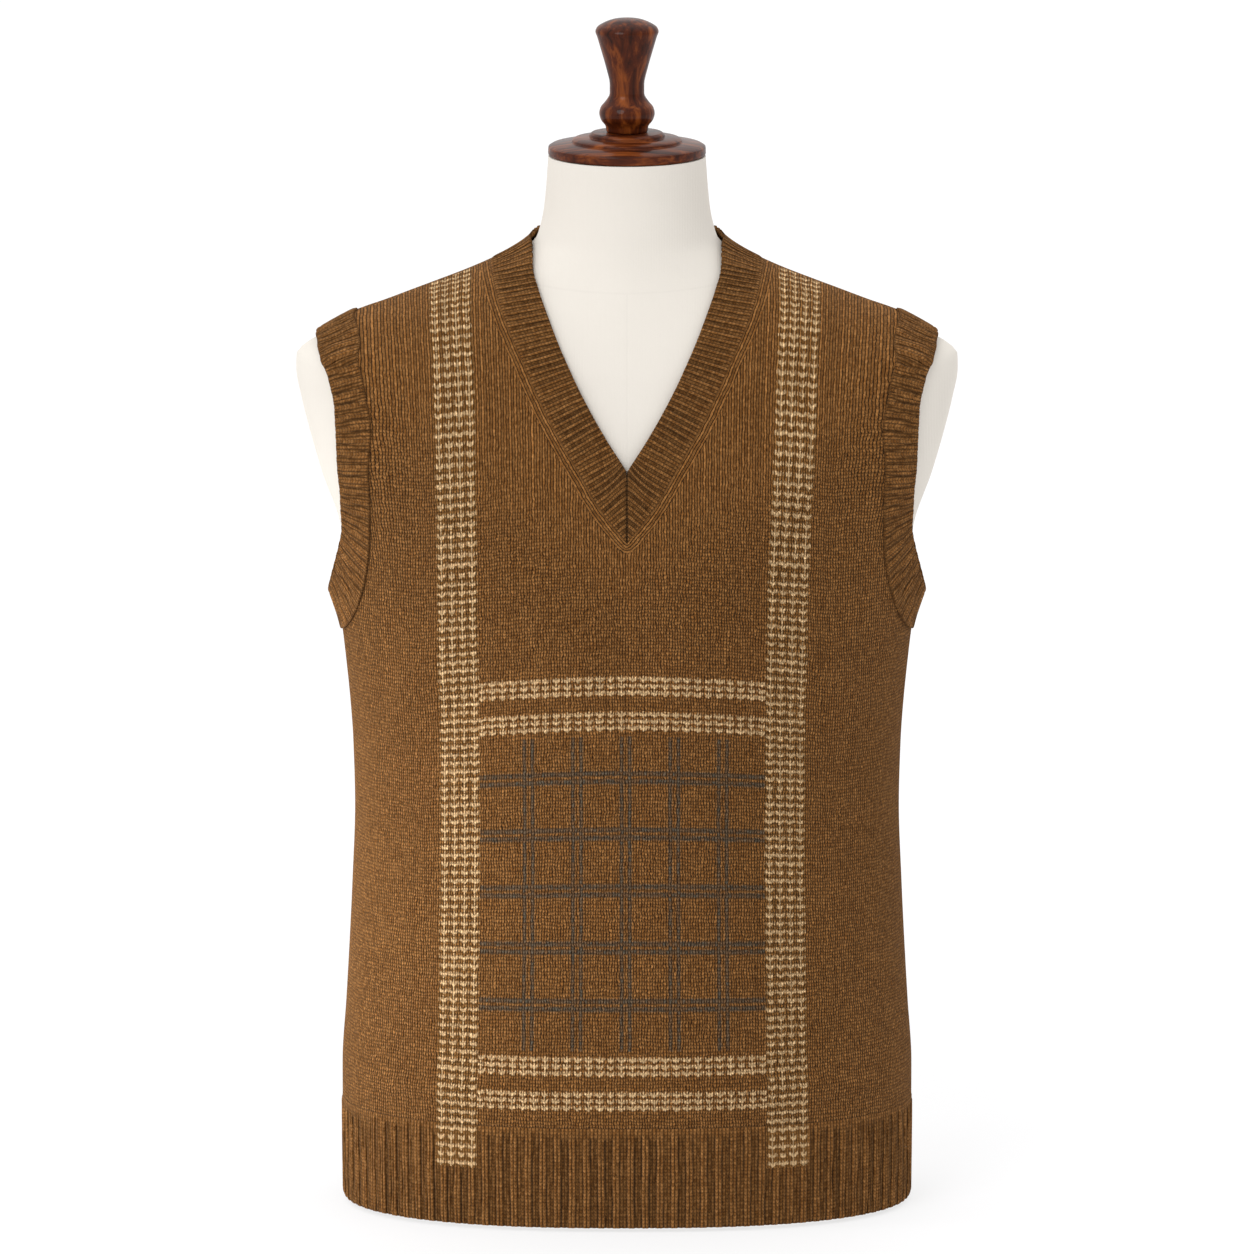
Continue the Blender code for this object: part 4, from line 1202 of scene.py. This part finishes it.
def neckband(name, material):
    """The strip round the whole neck: a right and a left half that meet in front and behind."""
    # The right side of the neck, from the V's point up to the shoulder and on to the nape.
    even = np.linspace(0, 1, CURVE_PARTS)
    front_part, back_part = stations(FRONT_NECK, -1, even), stations(BACK_NECK, 1, even[::-1])
    front_length = front_part.length
    total = front_length + back_part.length
    # Across the V's arm the ribs lean: each ends this much further up than it starts.
    seam = torso_place(front_part.seam_turn, front_part.seam_z, -1, BAND_LIFT)
    edge = torso_place(front_part.edge_turn, front_part.edge_z, -1, BAND_LIFT + NECK_FLARE)
    tangent = np.gradient(seam, axis=0)
    tangent /= np.linalg.norm(tangent, axis=1)[:, None]
    lean = ((edge - seam) * tangent).sum(axis=1)
    columns = round(total / NECK_RIB) * NECK_RIB_COLUMNS
    mesh, shares = flat_grids(name, columns, NECK_ROWS, count=2)
    half = len(shares) // 2
    hand = np.repeat([1, -1], half)
    run = np.where(hand > 0, shares[:, 0], 1 - shares[:, 0])
    length = run * total
    # Beside the point of the V a rib is cut off by the mitre before it reaches the free edge.
    reach = np.minimum(1, np.maximum(length, 1e-6) / lean[0])
    across = gathered(shares[:, 1], 0.5) * reach
    at = length.copy()
    places = [
        np.linspace(0, front_length, CURVE_PARTS),
        np.linspace(front_length, total, CURVE_PARTS),
    ]
    lean *= soft_step(places[0], front_length * LEAN_GONE, front_length * LEAN_FULL)
    for _ in range(LEAN_ROUNDS):
        at = 0.5 * at + 0.5 * (length - across * np.interp(at, places[0], lean))
        at = np.clip(at, 0, total)
    in_front = at < front_length
    seam_turn, seam_z, edge_turn, edge_z = (
        np.where(in_front, np.interp(at, places[0], front), np.interp(at, places[1], back))
        for front, back in list(zip(front_part, back_part))[:4]
    )
    side = np.where(in_front, -1, 1)
    turn = seam_turn + (edge_turn - seam_turn) * across
    z = seam_z + (edge_z - seam_z) * across
    level = torso_level(z)
    arch = NECK_FLARE * (0.6 * across + 0.4 * across**2) + BAND_CROWN * 4 * across * (1 - across)
    plain = torso_place(turn, z, side, level.ease + KNIT_WALL)
    width = np.interp(at, places[0], np.linalg.norm(edge - seam, axis=1))
    away = across * np.where(in_front, width, NECKBAND_WIDTH)
    phase = length / NECK_RIB
    phase += 0.06 * np.sin(away / 7 + 1.3 * phase)
    ridge = (0.5 + 0.5 * np.cos(2 * math.pi * phase)) ** 0.7
    depth = uneven(phase, *NECK_GROOVE_DEPTHS, seed=7) * (0.4 + 0.6 * soft_step(away, 0.5, 5))
    ridge = 1 - (1 - ridge) * depth
    height = NECK_RIB_DEPTH * ridge - NECK_RIB_SINK
    mitre = np.where(in_front, np.exp(-((plain[:, 0] / MITRE_WIDTH) ** 2)), 0)
    height -= MITRE_DEPTH * mitre
    height += (-ROLLED - height) * soft_step(away, 2.0, 0)
    height -= 0.6 * np.exp(-(((1 - across) * 30) ** 2))
    points = torso_place(turn, z, side, level.ease + KNIT_WALL + arch + height)
    centre = (turn <= 1e-9) | (np.abs(points[:, 0]) < 0.001)
    points[centre, 0] = 0
    points[:, 0] *= hand
    place_points(mesh, points)
    lay_flat(mesh, "Flat cloth", length / NECK_RIB * 2 * WALE * hand, away)
    # Painted shade in the grooves between the ribs and along the mitre.
    paint(mesh, "Hollow", np.maximum(1 - ridge, MITRE_SHADE * mitre))
    paint(mesh, "Drawn", np.full(len(ridge), RIB_DRAWN))
    close_mesh(mesh)
    band = show(name, mesh, material)
    give_thickness(band, CLOTH)
    return band


neck_piece = neckband("neckband_rib", band_wool)
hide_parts("neckband")

# ---- Floor, light and camera ---------------------------------------------------
# A plain pale floor in a white room, a large soft lamp high in front, a small one low at the
# left, and a long lens.

FLOOR_SIZE = 40000
floor_mesh, floor_shares = flat_grids("floor", 1, 1)
place_points(floor_mesh, np.column_stack([(floor_shares - 0.5) * FLOOR_SIZE, np.zeros(4)]))
floor = bpy.data.objects.new("floor", floor_mesh)
bpy.context.scene.collection.objects.link(floor)
# Opal acrylic sheet lit from below: matt white, with a glow that thins every shadow on it.
acrylic, acrylic_shader = new_material("opal_acrylic_sheet", 0.9)
acrylic_shader.inputs["Base Color"].default_value = from_hex("#89898a")
acrylic_shader.inputs["Emission Color"].default_value = from_hex("#ffffff")
acrylic_shader.inputs["Emission Strength"].default_value = 0.7
floor_mesh.materials.append(acrylic)

# White walls all round, a little brighter above, behind and to the left.
AMBIENT = 0.82
TO_LEFT = 0.08
TO_BACK = 0.26
TO_TOP = 0.42
world = bpy.data.worlds.new("studio")
bpy.context.scene.world = world
world.use_nodes = True
direction = add_node(world, "ShaderNodeTexCoord").outputs["Generated"]
x, y, z = add_node(world, "ShaderNodeSeparateXYZ", direction).outputs
strength = add_node(world, "MULTIPLY_ADD", y, TO_BACK, AMBIENT)
strength = add_node(world, "MULTIPLY_ADD", z, TO_TOP, strength)
strength = add_node(world, "MULTIPLY_ADD", x, -TO_LEFT, strength).outputs[0]
walls = world.node_tree.nodes["Background"]
walls.inputs["Color"].default_value = from_hex("#ffffff")
world.node_tree.links.new(strength, walls.inputs["Strength"])


def hang_lamp(light, at, towards):
    """Hangs a light at a place, in metres, turned towards another."""
    lamp = bpy.data.objects.new(light.name, light)
    bpy.context.scene.collection.objects.link(lamp)
    lamp.location = at
    lamp.rotation_euler = (Vector(towards) - Vector(at)).to_track_quat("-Z", "Y").to_euler()


# A large soft lamp high in front on the left, far enough away to light everything evenly.
key = bpy.data.lights.new("key", "SUN")
key.energy = 1.0
key.angle = math.radians(30)
hang_lamp(key, (-1.3, -2.15, 2.2), (0, 0, 0.45))

# A strip lamp beside the cloth's left side, with a grid that keeps it off the neck.
side_light = bpy.data.lights.new("side light", "AREA")
side_light.shape = "DISK"
side_light.size = 0.35
side_light.spread = math.radians(32)
side_light.energy = 0.57
hang_lamp(side_light, (-1.2, -0.3, 0.26), (0, -0.05, 0.22))

# The camera looks a little down on the front, from far off, so that upright lines stay upright.
ELEVATION = math.radians(10.5)
DISTANCE = 9.4747
MIDDLE = Vector((0, 0, 0.39485))
lens = bpy.data.cameras.new("camera")
lens.sensor_width = 36
lens.lens = 400
lens.clip_end = 100
camera = bpy.data.objects.new("camera", lens)
bpy.context.scene.collection.objects.link(camera)
camera.location = MIDDLE + DISTANCE * Vector((0, -math.cos(ELEVATION), math.sin(ELEVATION)))
camera.rotation_euler = (math.pi / 2 - ELEVATION, 0, 0)
bpy.context.scene.camera = camera
bpy.context.scene.view_settings.view_transform = "Standard"
